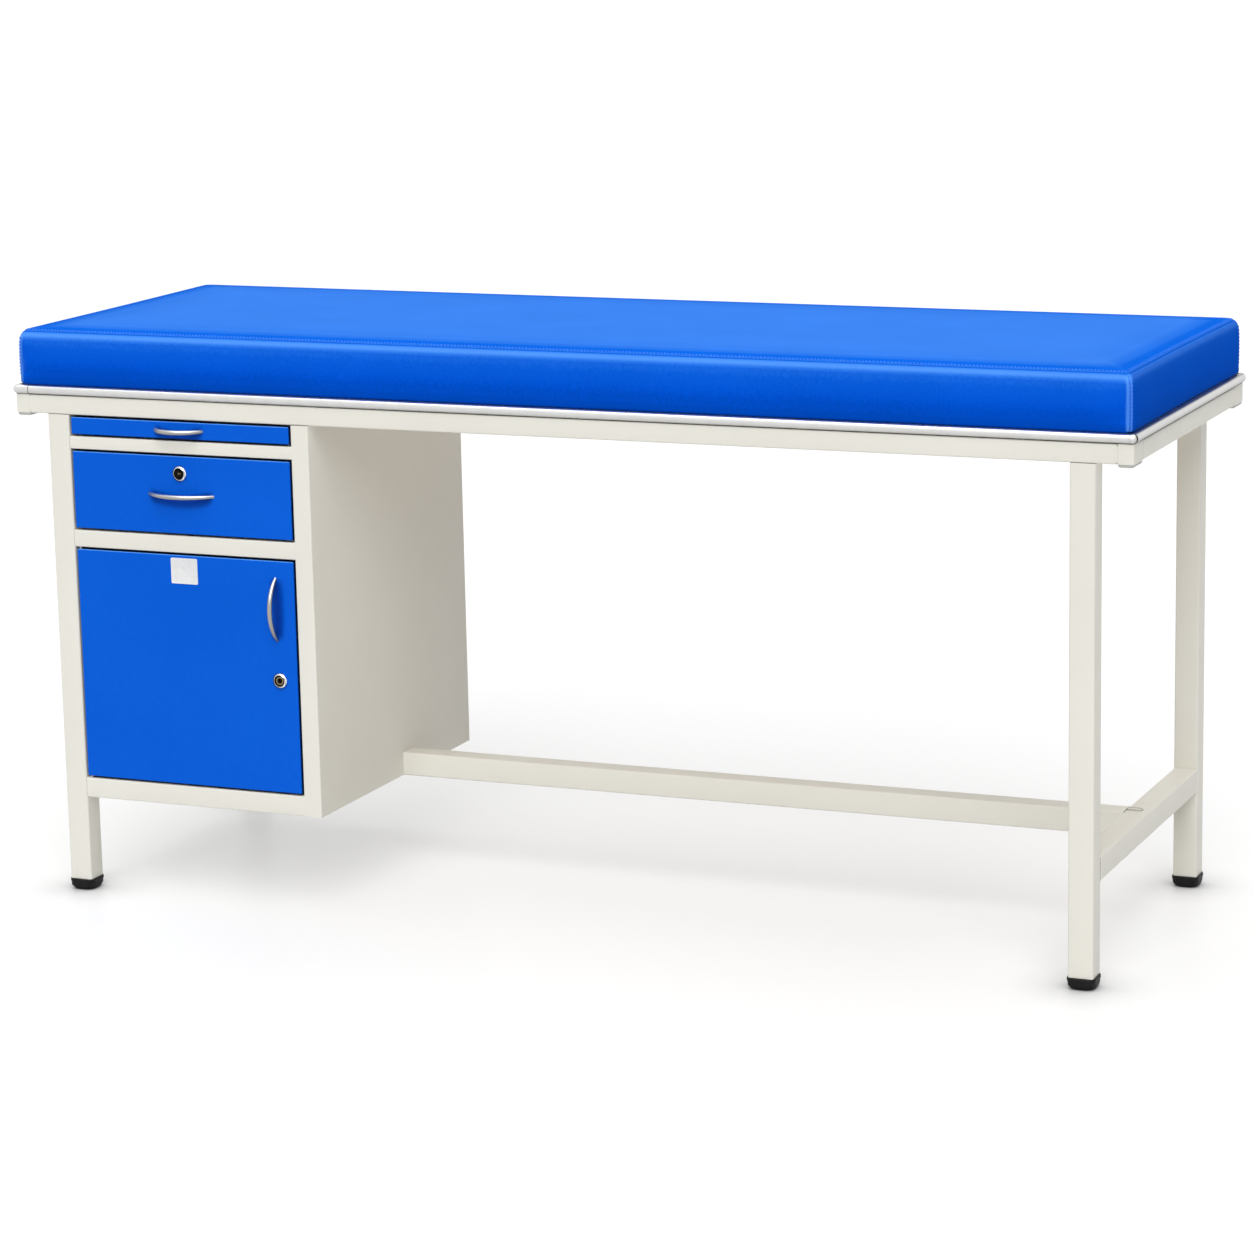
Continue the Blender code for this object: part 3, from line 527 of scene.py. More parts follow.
def vinylFinish():
    s = vinylSettings
    finish = newFinish("blue vinyl", s["sockets"])
    # painted light and shade: colour by how far the cloth leans from level, mottled by the grain
    level = calc(finish, "ARCCOSINE", facingAlong(finish, (0, 0, 1)))
    tilt = between(finish, cloud(finish, *s["mottleBy"]), -s["mottle"], s["mottle"], 0, 1)
    lean = calc(finish, "MULTIPLY_ADD", tilt, calc(finish, "SINE", level), level)
    tones = [(angle / 180, colour) for angle, colour in s["tones"]]
    colour = tonesBy(finish, between(finish, lean, 0, 1, 0, math.pi), tones)
    # painted shade on the two ends
    across = facingAlong(finish, (1, 0, 0))
    ends = calc(finish, "ABSOLUTE", across)
    colour = mixed(finish, between(finish, ends, *s["endShadeTurn"]), colour, s["end"])
    # painted highlight beside the upright corner seams
    ahead = calc(finish, "POWER", facingAlong(finish, (0, 1, 0)), 3.0)
    bent = calc(finish, "ABSOLUTE", calc(finish, "MULTIPLY", across, ahead))
    colour = mixed(finish, between(finish, bent, *s["cornerHighlightTurn"]), colour, s["corner"])
    patch = blendColours(finish, cloud(finish, *s["wearBy"]), [s["wear"]] * 3, (1, 1, 1))
    colour = mixed(finish, 1.0, colour, patch, "MULTIPLY")
    dull = between(finish, cloud(finish, *s["dullBy"]), *s["dull"])
    crease = relief(finish, cloud(finish, *s["creaseBy"]), s["creaseDepth"])
    grain = cells(finish, s["grainScale"], "SMOOTH_F1")
    return coated(finish, colour, dull, relief(finish, grain, s["grainDepth"], crease))


# Drawn aluminium of the edge strip: paler above in painted light and shade, with fine lines along it
aluminiumSettings = {
    "tones": (  # painted light and shade, from facing down to facing up
        (0.04, (0.340, 0.340, 0.334)),
        (0.16, (0.600, 0.600, 0.592)),
        (0.50, (0.680, 0.680, 0.672)),
        (0.80, (0.740, 0.740, 0.734)),
    ),
    "endTones": (  # the same on the two ends, which catch less light
        (0.13, (0.030, 0.030, 0.030)),
        (0.22, (0.330, 0.330, 0.324)),
        (0.35, (0.460, 0.460, 0.452)),
        (0.55, (0.590, 0.590, 0.582)),
        (0.84, (0.720, 0.720, 0.714)),
        (0.97, (0.280, 0.280, 0.276)),
    ),
    "endShadeTurn": (-0.1, 0.1),
    "wear": 0.94,
    "wearBy": (55, 3),
    "dull": (0.27, 0.31),
    "dullBy": (120, 4),
    "lines": (900, 2, (0.04, 1, 1)),  # scale, detail and stretch
    "lineDepth": 0.001 * mm,
}


def aluminiumFinish():
    s = aluminiumSettings
    finish = newFinish("satin aluminium", {"Metallic": 1.0})
    # painted light and shade by how the strip faces, darker on the two ends
    up = between(finish, facingAlong(finish, (0, 0, 1)), 0, 1, -1, 1)
    across = calc(finish, "ABSOLUTE", facingAlong(finish, (1, 0, 0)))
    ahead = calc(finish, "ABSOLUTE", facingAlong(finish, (0, 1, 0)))
    ends = between(finish, calc(finish, "SUBTRACT", across, ahead), 0, 1, *s["endShadeTurn"])
    tone = mixed(finish, ends, tonesBy(finish, up, s["tones"]), tonesBy(finish, up, s["endTones"]))
    patch = blendColours(finish, cloud(finish, *s["wearBy"]), [s["wear"]] * 3, (1, 1, 1))
    dull = between(finish, cloud(finish, *s["dullBy"]), *s["dull"])
    bump = relief(finish, cloud(finish, *s["lines"]), s["lineDepth"])
    return coated(finish, mixed(finish, 1.0, tone, patch, "MULTIPLY"), dull, bump)


# Plated metal with painted reflections: pale above and darker below or in bands, as a room gives it
platedSettings = {
    "satin nickel": {  # handles
        "sockets": {"Metallic": 1.0},
        "way": (0.10, -0.42, 0.90),
        "tones": (
            (0.10, (0.180, 0.174, 0.164)),
            (0.40, (0.330, 0.320, 0.304)),
            (0.58, (0.390, 0.380, 0.362)),
            (0.78, (0.360, 0.352, 0.338)),
            (0.88, (0.520, 0.512, 0.498)),
            (0.96, (0.600, 0.592, 0.576)),
        ),
        "dull": (0.34, 0.39),
        "dullScale": 200,
        "bumpScale": 1200,
    },
    "polished chrome": {  # lock bezels
        "sockets": {"Metallic": 1.0, "Specular Tint": (0.12, 0.12, 0.11, 1)},
        "way": (0.80, 0.0, 0.30),
        "tones": (
            (0.16, (0.040, 0.038, 0.034)),
            (0.30, (0.100, 0.095, 0.085)),
            (0.40, (0.520, 0.515, 0.500)),
            (0.62, (0.850, 0.850, 0.845)),
            (0.68, (0.800, 0.800, 0.800)),
            (0.72, (0.060, 0.060, 0.060)),
            (0.76, (0.850, 0.850, 0.850)),
            (0.97, (0.950, 0.950, 0.950)),
        ),
        "dull": (0.06, 0.12),
        "dullScale": 300,
        "bumpScale": 900,
    },
}
platedDepth = 0.0008 * mm


def platedFinish(name):
    s = platedSettings[name]
    finish = newFinish(name, s["sockets"])
    # painted reflections: tones by how far the surface faces along the way
    band = between(finish, facingAlong(finish, s["way"]), 0, 1, -1, 1)
    dull = between(finish, cloud(finish, s["dullScale"], 3), *s["dull"])
    bump = relief(finish, cloud(finish, s["bumpScale"], 2), platedDepth)
    return coated(finish, tonesBy(finish, band, s["tones"]), dull, bump)


# Zinc plate on the runners and pins: crystals of slightly unlike tone
zincSettings = {
    "deep": (0.36, 0.365, 0.38),
    "pale": (0.46, 0.465, 0.475),
    "dull": (0.30, 0.48),
    "spread": (0.1, 0.8),
    "crystalScale": 160,
    "bumpBy": (700, 2),
    "bumpDepth": 0.012 * mm,
}


def zincFinish():
    s = zincSettings
    finish = newFinish("zinc plate", {"Metallic": 1.0})
    crystal = cells(finish, s["crystalScale"])
    tone = blendColours(finish, crystal, s["deep"], s["pale"], *s["spread"])
    dull = between(finish, crystal, *s["dull"], *s["spread"])
    return coated(finish, tone, dull, relief(finish, cloud(finish, *s["bumpBy"]), s["bumpDepth"]))


# Plain finishes: two tones, and the scale, detail and stretch of what each of them follows
def moulded(deep, pale, dull, gloss):
    return {
        "sockets": {"Specular IOR Level": gloss},
        "tones": (deep, pale),
        "toneBy": (90, 4),
        "dull": (dull, dull + 0.16),
        "dullBy": (210, 3),
        "bumpBy": (1400, 2),
        "bumpDepth": 0.03 * mm,
    }


plainSettings = {
    "black rubber": moulded((0.004, 0.004, 0.004), (0.009, 0.009, 0.009), 0.42, 0.18),
    "grey plastic": moulded((0.49, 0.49, 0.465), (0.54, 0.54, 0.515), 0.42, 0.4),
    "black core": moulded((0.003, 0.003, 0.003), (0.006, 0.006, 0.006), 0.40, 0.04),
    "seam shade": moulded((0.007, 0.120, 0.630), (0.010, 0.140, 0.690), 0.60, 0.02),
    "joint shade": moulded((0.400, 0.390, 0.350), (0.460, 0.450, 0.415), 0.60, 0.10),
    # painted shade: dark navy on the sides and backs of the fronts, so the gaps round them read dark
    "navy gap shade": moulded((0.003, 0.013, 0.072), (0.004, 0.018, 0.095), 0.60, 0.05),
    "blue thread": {  # a little paler than the vinyl
        "sockets": {"Roughness": 0.6, "Specular IOR Level": 0.1},
        "tones": ((0.030, 0.180, 0.800), (0.100, 0.310, 0.920)),
        "toneBy": (900, 2),
        "bumpBy": (900, 2),
        "bumpDepth": 0.05 * mm,
    },
    "brass core": {  # behind the keyhole
        "sockets": {"Metallic": 1.0},
        "tones": ((0.20, 0.14, 0.07), (0.38, 0.28, 0.14)),
        "toneBy": (500, 3),
        "dull": (0.25, 0.4),
        "dullBy": (800, 2),
    },
    "plywood": {  # long grain with darker lines
        "sockets": {"Specular IOR Level": 0.25},
        "tones": ((0.33, 0.20, 0.10), (0.62, 0.45, 0.27)),
        "spread": (0.25, 0.75),
        "toneBy": (60, 6, (0.06, 1, 1)),
        "dull": (0.62, 0.82),
        "dullBy": (60, 6, (0.06, 1, 1)),
        "bumpBy": (240, 4, (0.08, 1, 1)),
        "bumpDepth": 0.10 * mm,
    },
    "blank plate": {  # white satin card
        "sockets": {"Specular IOR Level": 0.4},
        "tones": ((0.74, 0.75, 0.75), (0.82, 0.83, 0.83)),
        "toneBy": (130, 4),
        "dull": (0.34, 0.46),
        "dullBy": (260, 2),
        "bumpBy": (900, 2),
        "bumpDepth": 0.01 * mm,
    },
}


def plainFinish(name):
    s = plainSettings[name]
    finish = newFinish(name, s["sockets"])
    spread = s.get("spread", (0.3, 0.7))
    colour = blendColours(finish, cloud(finish, *s["toneBy"]), *s["tones"], *spread)
    dull = between(finish, cloud(finish, *s["dullBy"]), *s["dull"]) if "dull" in s else None
    bump = relief(finish, cloud(finish, *s["bumpBy"]), s["bumpDepth"]) if "bumpBy" in s else None
    return coated(finish, colour, dull, bump)


ivory = ivoryFinish()
paint = paintFinish()
vinyl = vinylFinish()
aluminium = aluminiumFinish()
nickel = platedFinish("satin nickel")
chrome = platedFinish("polished chrome")
zinc = zincFinish()
rubber = plainFinish("black rubber")
greyPlastic = plainFinish("grey plastic")
blackCore = plainFinish("black core")
navyGapShade = plainFinish("navy gap shade")
seamShade = plainFinish("seam shade")
jointShade = plainFinish("joint shade")
thread = plainFinish("blue thread")
brass = plainFinish("brass core")
plywood = plainFinish("plywood")
plateWhite = plainFinish("blank plate")
print("finishes made:", len(bpy.data.materials))


# Square tubes of the frame: rounded edges, hollow, with eased ends
tubing = {"corner": 2.8 * mm, "wall": 1.5 * mm, "ease": 0.5 * mm, "steps": 5}
tubeNodes = {
    "X": ["rail_front", "rail_rear", "long_stretcher"],
    "Y": ["rail_left", "rail_right", "deck_bearer_left", "deck_bearer_right"]
    + ["end_stretcher_left", "end_stretcher_right"],
    "Z": ["leg_" + corner for corner in corners] + ["corner_socket_" + corner for corner in corners],
}


def dressTube(node, axis):
    start, end, centre, across = spanAlong(node, axis)
    ease = tubing["ease"]
    corner = tubing["corner"]
    wall = tubing["wall"]
    levels = [
        (2 * ease, corner - ease, start),
        (0, corner, start + ease),
        (0, corner, end - ease),
        (2 * ease, corner - ease, end),
        (2 * wall, corner - wall, end),
        (2 * wall, corner - wall, start),
    ]
    mesh = stacked(axis, centre, across, levels, tubing["steps"], ring=True)
    standFor(makePiece(node + ".coated", mesh, ivory), "ivory_powder_coat", node)


for axis, names in tubeNodes.items():
    for node in names:
        dressTube(node, axis)
print("tubes dressed")


# Weld beads where the stretchers meet the legs, the cabinet and each other
bead = {
    "radius": 0.8 * mm,
    "ripple": 0.18,
    "pitch": 3.2 * mm,
    "spacing": 1.1 * mm,
    "sides": 8,
    "cornerSteps": 6,
}


def beadPath(across):
    corner = tubing["corner"] + bead["radius"] / 2
    outline = [Vector(point) for point in roundOutline(*across, corner, bead["cornerSteps"])]
    path = []
    for first, second in zip(outline, outline[1:] + outline[:1]):
        count = max(1, round((second - first).length / bead["spacing"]))
        path += [first.lerp(second, k / count) for k in range(count)]
    return path


def weldEnds(node, axis, names):
    start, end, centre, across = spanAlong(node, axis)
    path = beadPath(across)
    for name, at in zip(names, (start, end)):
        loops = []
        travel = 0
        for i, point in enumerate(path):
            behind = path[i - 1]
            out = -toLeft((path[(i + 1) % len(path)] - behind).normalized())
            travel += (point - behind).length
            swell = 1 + bead["ripple"] * math.sin(2 * math.pi * travel / bead["pitch"])
            reach = bead["radius"] * swell
            loop = []
            for outward, onward in circle(bead["sides"]):
                u, v = point + out * reach * outward
                loop.append(centre + layAlong(axis, u, v, at + reach * onward))
            loops.append(loop)
        addTo(makePiece(name, skin(loops, ring=True), ivory, 60), "frame")


for side in ("left", "right"):
    weldEnds("end_stretcher_" + side, "Y", ("weld_front_" + side, "weld_rear_" + side))
weldEnds("long_stretcher", "X", ("weld_long_cabinet", "weld_long_end"))


# Dressed weld bands across the face of the long rails, beside each corner socket
band = {"width": 3.6 * mm, "proud": 0.35 * mm, "edge": 0.7 * mm, "shoulder": 0.8, "steps": 4}
wallFacing = 0.75  # a face that looks out less than this is a wall


def shadeWalls(piece, out):
    # painted shade: a thin darker line on the walls round a small raised piece
    piece.data.materials.append(jointShade)
    for face in piece.data.polygons:
        if face.normal.dot(out) < wallFacing:
            face.material_index = 1


def addBand(end, side):
    low, high, middle, size = span("rail_" + end)
    out = -1 if end == "front" else 1
    middle.x = low.x if side == "left" else high.x
    middle.y = low.y if end == "front" else high.y
    edge = band["edge"]
    proud = out * band["proud"]
    levels = [
        (0, edge, -proud),
        (0, edge, 0),
        (edge, edge / 2, proud * band["shoulder"]),
        (2 * edge, edge / 4, proud),
    ]
    across = (band["width"], size.z - 2 * tubing["corner"])
    mesh = stacked("Y", middle, across, levels, band["steps"])
    piece = makePiece("weld_band_" + end + "_" + side, mesh, ivory, 60)
    shadeWalls(piece, Vector((0, out, 0)))
    addTo(piece, "frame")


for end in ("front", "rear"):
    for side in ("left", "right"):
        addBand(end, side)
print("welds added")


# Rubber shoes: a cup with a lip round its top and a soft bottom edge
shoe = {
    "inside": 38.6 * mm,
    "steps": 8,
    # inset, corner radius and height in millimetres, from the sole up
    "foot": ((12.2, 13, 0), (7.2, 14.5, 0.7), (4, 15, 2.2), (2, 14, 4.6), (1.2, 12.5, 7.6)),
    # inset, corner radius and depth below the top in millimetres, up over the lip
    "lip": ((1.2, 10.4, 6), (0.9, 10.4, 5.4), (0, 10.4, 4.8), (0, 10.4, 1.4), (0.8, 10, 0.4), (2.2, 9.3, 0)),
    # the same down inside the cup, as an inset of its inside
    "cup": ((-0.6, 3.4, 0), (0, 3.1, 0.4), (0, 3.1, 12)),
}


def dressShoe(node):
    top, centre, across = spanAlong(node, "Z")[1:]
    bore = across[0] - shoe["inside"]
    levels = [(inset * mm, radius * mm, height * mm) for inset, radius, height in shoe["foot"]]
    levels += [(inset * mm, radius * mm, top - depth * mm) for inset, radius, depth in shoe["lip"]]
    levels += [(bore + inset * mm, radius * mm, top - depth * mm) for inset, radius, depth in shoe["cup"]]
    mesh = stacked("Z", centre, across, levels, shoe["steps"])
    standFor(makePiece(node + ".rubber", mesh, rubber, 50), "black_rubber", node)


# Plastic plugs under the corner sockets
plug = {
    "corner": 3.5 * mm,
    "bottom": 1.6 * mm,
    "bottomParts": (1.0, 0.6, 0.25, 0.0),  # of that height and inset, from below
    "stemInset": 1.6 * mm,
    "stemCorner": 1.2 * mm,
    "gap": 0.3 * mm,  # under the socket
    "steps": 6,
}


def dressPlug(node):
    start, end, centre, across = spanAlong(node, "Z")
    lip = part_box(node.replace("plug", "socket"))[0].z - plug["gap"]
    levels = []
    for part in plug["bottomParts"]:
        inset = 2 * plug["bottom"] * part
        levels.append((inset, plug["corner"] - inset / 4, start + plug["bottom"] * (1 - part)))
    levels.append((0, plug["corner"], lip))
    levels += [(plug["stemInset"], plug["stemCorner"], at) for at in (lip, end)]
    mesh = stacked("Z", centre, across, levels, plug["steps"])
    standFor(makePiece(node + ".moulded", mesh, greyPlastic, 50), "grey_plastic", node)


for corner in corners:
    dressShoe("shoe_" + corner)
    dressPlug("corner_plug_" + corner)


# Small stadium-shaped tab on the joint of the two stretchers
tab = {
    "edge": 0.6 * mm,
    "endRound": 2.01,  # its width over its corner radius, a little over 2
    "sunk": 0.2 * mm,
    "steps": 10,
    "top": ((0, 1), (0.6, 0.3), (2, 0), (5, 0), (7, 2)),  # inset and depth, in edges
}


def dressTab():
    start, end, centre, across = spanAlong("stretcher_tab", "Z")
    edge = tab["edge"]
    around = across[1] / tab["endRound"]
    levels = [(0, around, start - tab["sunk"])]
    levels += [(edge * inset, around - edge * inset / 2, end - edge * depth) for inset, depth in tab["top"]]
    mesh = stacked("Z", centre, across, levels, tab["steps"])
    piece = makePiece("stretcher_tab.coated", mesh, ivory, 50)
    shadeWalls(piece, Vector((0, 0, 1)))
    standFor(piece, "ivory_powder_coat", "stretcher_tab")


dressTab()
print("shoes, plugs and tab dressed")


# Aluminium edge strip: four lengths of half-round section and a small cap at each corner
strip = {
    "nose": 9 * mm,  # how far it stands out from the board
    "base": 0.3 * mm,
    "flange": 9 * mm,  # how far its thin top reaches in over the board
    "leaf": 0.1 * mm,
    "steps": 18,
    "gap": {"left": 0.9 * mm, "right": 0.35 * mm},  # dark joint between a length and a cap
    "sideGap": {"left": 0.4 * mm, "right": 0.3 * mm},  # the same along the ends
    "capProud": 0.25 * mm,
    "capTurns": 10,
    "capReach": {"left": 20 * mm, "right": 0.6 * mm},  # along the front and the rear
    "capSide": {"left": 12 * mm, "right": 0},  # along the ends
    "capTurn": {"left": quarter, "right": math.radians(60)},  # round the corner
    "gapShadeSunk": 0.4 * mm,  # dark filler set back in the gap past the right caps, as painted shade
    "gapShadeLap": math.radians(10),  # how far it starts under the cap
    "gapShadeRun": 3 * mm,  # how far it goes on under the end length
}


def stripProfile(extra):
    low, _, middle, size = span("edge_strip_front")
    radius = size.z / 2
    reach = radius + extra
    nose = strip["nose"] - radius
    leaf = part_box("deck_board")[1].z + strip["leaf"]
    profile = [(strip["base"], low.z - extra)]
    for step in range(strip["steps"] + 1):
        angle = math.pi * (step / strip["steps"] - 0.5)
        profile.append((nose + reach * math.cos(angle), middle.z + reach * math.sin(angle)))
    return profile + [(strip["base"], leaf), (-strip["flange"], leaf)]


def stripLength(side, start, end, edge):
    # start and end run along the side, edge is where the board ends
    axis = "X" if side in ("front", "rear") else "Y"
    out = -1 if side in ("front", "left") else 1
    profile = stripProfile(0)
    loops = [[layAlong(axis, edge + out * reach, z, at) for reach, z in profile] for at in (start, end)]
    node = "edge_strip_" + side
    standFor(makePiece(node + ".drawn", skin(loops), aluminium, 40), "satin_aluminium", node)


def roundCorner(corner, at, profile, angles, reach, run):
    # angles: first and last round the corner; reach: along the front or rear; run: along the end
    outX = -1 if "left" in corner else 1
    outY = -1 if "front" in corner else 1
    loops = []
    for step in range(strip["capTurns"] + 1):
        angle = angles[0] + (angles[1] - angles[0]) * step / strip["capTurns"]
        out = Vector((outX * math.sin(angle), outY * math.cos(angle), 0))
        loops.append([at + out * away + Vector((0, 0, z)) for away, z in profile])
    if reach:
        loops.insert(0, [point - Vector((outX * reach, 0, 0)) for point in loops[0]])
    if run:
        loops.append([point - Vector((0, outY * run, 0)) for point in loops[-1]])
    return skin(loops)


def stripCap(corner, at):
    side = corner.split("_")[1]
    turn = strip["capTurn"][side]
    profile = stripProfile(strip["capProud"])
    mesh = roundCorner(corner, at, profile, (0, turn), strip["capReach"][side], strip["capSide"][side])
    addTo(makePiece("strip_cap_" + corner, mesh, aluminium, 40), "frame")
    if turn < quarter:
        # painted shade: a dark filler set back in the gap past a right cap
        profile = stripProfile(-strip["gapShadeSunk"])
        angles = (turn - strip["gapShadeLap"], quarter)
        mesh = roundCorner(corner, at, profile, angles, 0, strip["gapShadeRun"])
        addTo(makePiece("strip_gap_shade_" + corner, mesh, blackCore, 40), "frame")


def dressStrips():
    low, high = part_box("deck_board")
    left = low.x + strip["capReach"]["left"] + strip["gap"]["left"]
    right = high.x - strip["capReach"]["right"] - strip["gap"]["right"]
    stripLength("front", left, right, low.y)
    stripLength("rear", left, right, high.y)
    for side, edge in (("left", low.x), ("right", high.x)):
        along = strip["capSide"][side] + strip["sideGap"][side]
        stripLength(side, low.y + along, high.y - along, edge)
    for corner in corners:
        x = low.x if "left" in corner else high.x
        y = low.y if "front" in corner else high.y
        stripCap(corner, Vector((x, y, 0)))


dressStrips()
print("edge strip dressed")


# Folded sheet steel: a path of the outer face, given its bends and its thickness to the left
sheet = {"thick": 1.2 * mm, "bend": 2.2 * mm, "steps": 5, "stileLip": 12 * mm}


def foldedOutline(path):
    points = [Vector(point) for point in path]
    ways = [(after - before).normalized() for before, after in zip(points, points[1:])]
    outer = [points[0]]
    inner = [points[0] + toLeft(ways[0]) * sheet["thick"]]
    for bend, way in zip(points[1:-1], ways):
        left = toLeft(way)
        centre = bend + (left - way) * sheet["bend"]
        for step in range(sheet["steps"] + 1):
            angle = quarter * step / sheet["steps"]
            spoke = way * math.sin(angle) - left * math.cos(angle)
            outer.append(centre + spoke * sheet["bend"])
            inner.append(centre + spoke * (sheet["bend"] - sheet["thick"]))
    outer.append(points[-1])
    inner.append(points[-1] + toLeft(ways[-1]) * sheet["thick"])
    return outer + inner[::-1]


def foldedPiece(name, axis, path, start, end):
    outline = foldedOutline(path)
    loops = [[layAlong(axis, u, v, at) for u, v in outline] for at in (start, end)]
    return makePiece(name, skin(loops), ivory)


def dressStile():
    node = "cabinet_side_right"
    low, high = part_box(node)
    path = [(low.x, low.y + sheet["stileLip"]), (low.x, low.y), (high.x, low.y), (high.x, high.y)]
    standFor(foldedPiece(node + ".folded", "Z", path, low.z, high.z), "ivory_powder_coat", node)


def dressFrontRail(level):
    # the rail, and the dressed weld that carries its face on over the stile's bend
    node = "front_rail_" + level
    low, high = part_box(node)
    path = [(high.y, high.z), (low.y, high.z), (low.y, low.z), (high.y, low.z)]
    standFor(foldedPiece(node + ".folded", "X", path, low.x, high.x), "ivory_powder_coat", node)
    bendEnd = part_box("cabinet_side_right")[0].x + sheet["bend"]
    weld = foldedPiece("weld_rail_" + level, "X", path, high.x, bendEnd)
    addTo(weld, "frame")


dressStile()
for level in ("upper", "middle", "lower"):
    dressFrontRail(level)
print("cabinet sheet folded")


# Blue fronts, and the pans of the tray and the drawer: sheet with round bends and a rolled rim
front = {
    "bend": 1.6 * mm,
    "wall": 1.2 * mm,
    "rim": 0.4 * mm,
    "shy": 0.7 * mm,  # gap all round
    "backCorner": 0.5 * mm,
    "lockHole": 11.1 * mm,
    "holeReach": 9 * mm,
    "holeSteps": 40,
    "navyShadeStart": 1.2,  # in bends behind the face, where the painted navy shade starts
    "sideFacing": 0.2,
}
pan = {"bend": 2.5 * mm, "wall": 1.2 * mm, "rim": 0.45 * mm}
bendSteps = 4


def quarterBend(radius):
    # inset and rise round a bend, from the face to the side
    angles = [quarter * step / bendSteps for step in range(bendSteps + 1)]
    return [(2 * radius * (1 - math.sin(angle)), radius * (1 - math.cos(angle))) for angle in angles]


def outerLevels(s, start, end):
    # up the outside of a pan and over its rim
    bend = s["bend"]
    wall = s["wall"]
    rim = s["rim"]
    levels = [(inset, bend - inset / 3, start + rise) for inset, rise in quarterBend(bend)]
    return levels + [
        (0, bend, end - rim),
        (rim, bend - rim / 2, end),
        (2 * wall - rim, bend - wall, end),
        (2 * wall, bend - wall, end - rim),
    ]


def dressFront(node, lockNode=None):
    start, end, centre, across = spanAlong(node, "Y")
    bend = front["bend"]
    wall = front["wall"]
    levels = outerLevels(front, start, end)
    levels.append((2 * wall, bend - wall, start + wall + bend / 2))
    levels.append((2 * wall + bend, front["backCorner"], start + wall))
    size = [length - 2 * front["shy"] for length in across]
    piece = makePiece(node + ".painted", stacked("Y", centre, size, levels, bendSteps), paint)
    if lockNode:
        middle = span(lockNode)[2]
        middle.y = start
        profile = [(front["lockHole"], -front["holeReach"]), (front["lockHole"], front["holeReach"])]
        carve(piece, makePiece("tool", turned(middle, profile, front["holeSteps"]), paint))
    # painted shade: dark navy on the sides and back of the front, so the gaps round it read dark
    piece.data.materials.append(navyGapShade)
    for face in piece.data.polygons:
        behind = face.center.y - start
        side = abs(face.normal.y) < front["sideFacing"]
        if behind > bend * front["navyShadeStart"] or side and behind > bend:
            face.material_index = 1
    even = piece.modifiers.new("even shading", "WEIGHTED_NORMAL")
    even.keep_sharp = True
    standFor(piece, "blue_gloss_paint", node)


def dressPan(node):
    start, end, centre, across = spanAlong(node, "Z")
    wall = pan["wall"]
    inner = pan["bend"] - wall
    levels = outerLevels(pan, start, end)
    for inset, rise in reversed(quarterBend(inner)):
        levels.append((2 * wall + inset, inner / 2, start + wall + rise))
    mesh = stacked("Z", centre, across, levels, bendSteps)
    standFor(makePiece(node + ".folded", mesh, ivory), "ivory_powder_coat", node)


dressFront("tray_front")
dressFront("drawer_front", "drawer_lock_body")
dressFront("door_panel", "door_lock_body")
dressPan("tray_pan")
dressPan("drawer_box")
print("tray, drawer and door dressed")


# Bow handles: round bars that taper to their ends
handle = {"middle": 3.7 * mm, "tip": 2.8 * mm, "sides": 18, "steps": 40, "tries": 8}


def dressHandle(node):
    high, place, size = span(node)[1:]
    place.y = high.y
    level = size.x > size.z
    length = max(size.x, size.z)
    rise = size.y - handle["middle"]
    tip = handle["tip"]
    half = length / 2 - tip
    for _ in range(handle["tries"]):  # settles where the tips end level with the box
        bend = (half**2 + rise**2) / (2 * rise)
        half = length / 2 - tip * bend / half
    bend = (half**2 + rise**2) / (2 * rise)
    reach = math.asin(half / bend) + 2 * tip / bend
    loops = []
    for step in range(handle["steps"] + 1):
        part = 2 * step / handle["steps"] - 1
        angle = reach * part
        thick = tip + (handle["middle"] - tip) * math.cos(quarter * part)
        loop = []
        for outward, sideways in circle(handle["sides"]):
            out = bend + thick * outward
            along = out * math.sin(angle)
            depth = bend - rise - out * math.cos(angle)
            wide = thick * sideways
            loop.append(place + Vector((along, depth, wide) if level else (wide, depth, along)))
        loops.append(loop)
    mesh = skin(loops)
    everything = list(mesh.verts) + list(mesh.edges) + list(mesh.faces)
    bmesh.ops.bisect_plane(mesh, geom=everything, plane_co=place, plane_no=(0, 1, 0), clear_outer=True)
    bmesh.ops.holes_fill(mesh, edges=mesh.edges, sides=0)
    standFor(makePiece(node + ".plated", mesh, nickel, 50), "satin_nickel", node)


for group in ("tray", "drawer", "door"):
    dressHandle(group + "_handle")


# Cam locks: a domed chrome bezel, and a dark plug with its keyhole and cam
lock = {
    "bore": 8.7 * mm,
    "rim": ((0, 1.1 * mm), (0.25 * mm, 0.35 * mm)),  # out from the bore, and back from the front
    "lip": 0.5 * mm,
    "bezel": 12.2 * mm,
    "slope": math.radians(24),  # how far the bezel leans out where it starts
    "domeSteps": 8,
    "skirt": 1.0 * mm,  # straight edge below the dome
    "seat": 0.3 * mm,
    "barrel": 10.8 * mm,
    "proud": 5 * mm,
    "steps": 56,
}
core = {
    "radius": 8.5 * mm,
    "bore": 0.5 * mm,
    "sunk": 0.3 * mm,  # the bare ring and the middle
    "edge": ((0.5 * mm, 0), (0.1 * mm, 0.2 * mm), (0, 0.5 * mm)),  # in from the side, and back
    "ring": {"drawer": (0.8 * mm, 2.4 * mm), "door": (4.6 * mm, 6.4 * mm)},  # bare metal, from and to
    "ringSlack": (0.2 * mm, 0.1 * mm),
    "shown": 0.4 * mm,
    "keyLength": 7 * mm,
    "keyWidth": 2.2 * mm,
    "keyRound": 2.1,  # width over corner radius
    "keyDepth": (-2 * mm, 3.5 * mm),
    "keySteps": 5,
}
camBar = {
    "width": 10 * mm,
    "thick": 1.7 * mm,
    "edge": 0.4 * mm,
    "gap": 0.2 * mm,  # to the end of the plug's box
    "endRound": 2.02,  # width over corner radius
    "steps": 10,
}


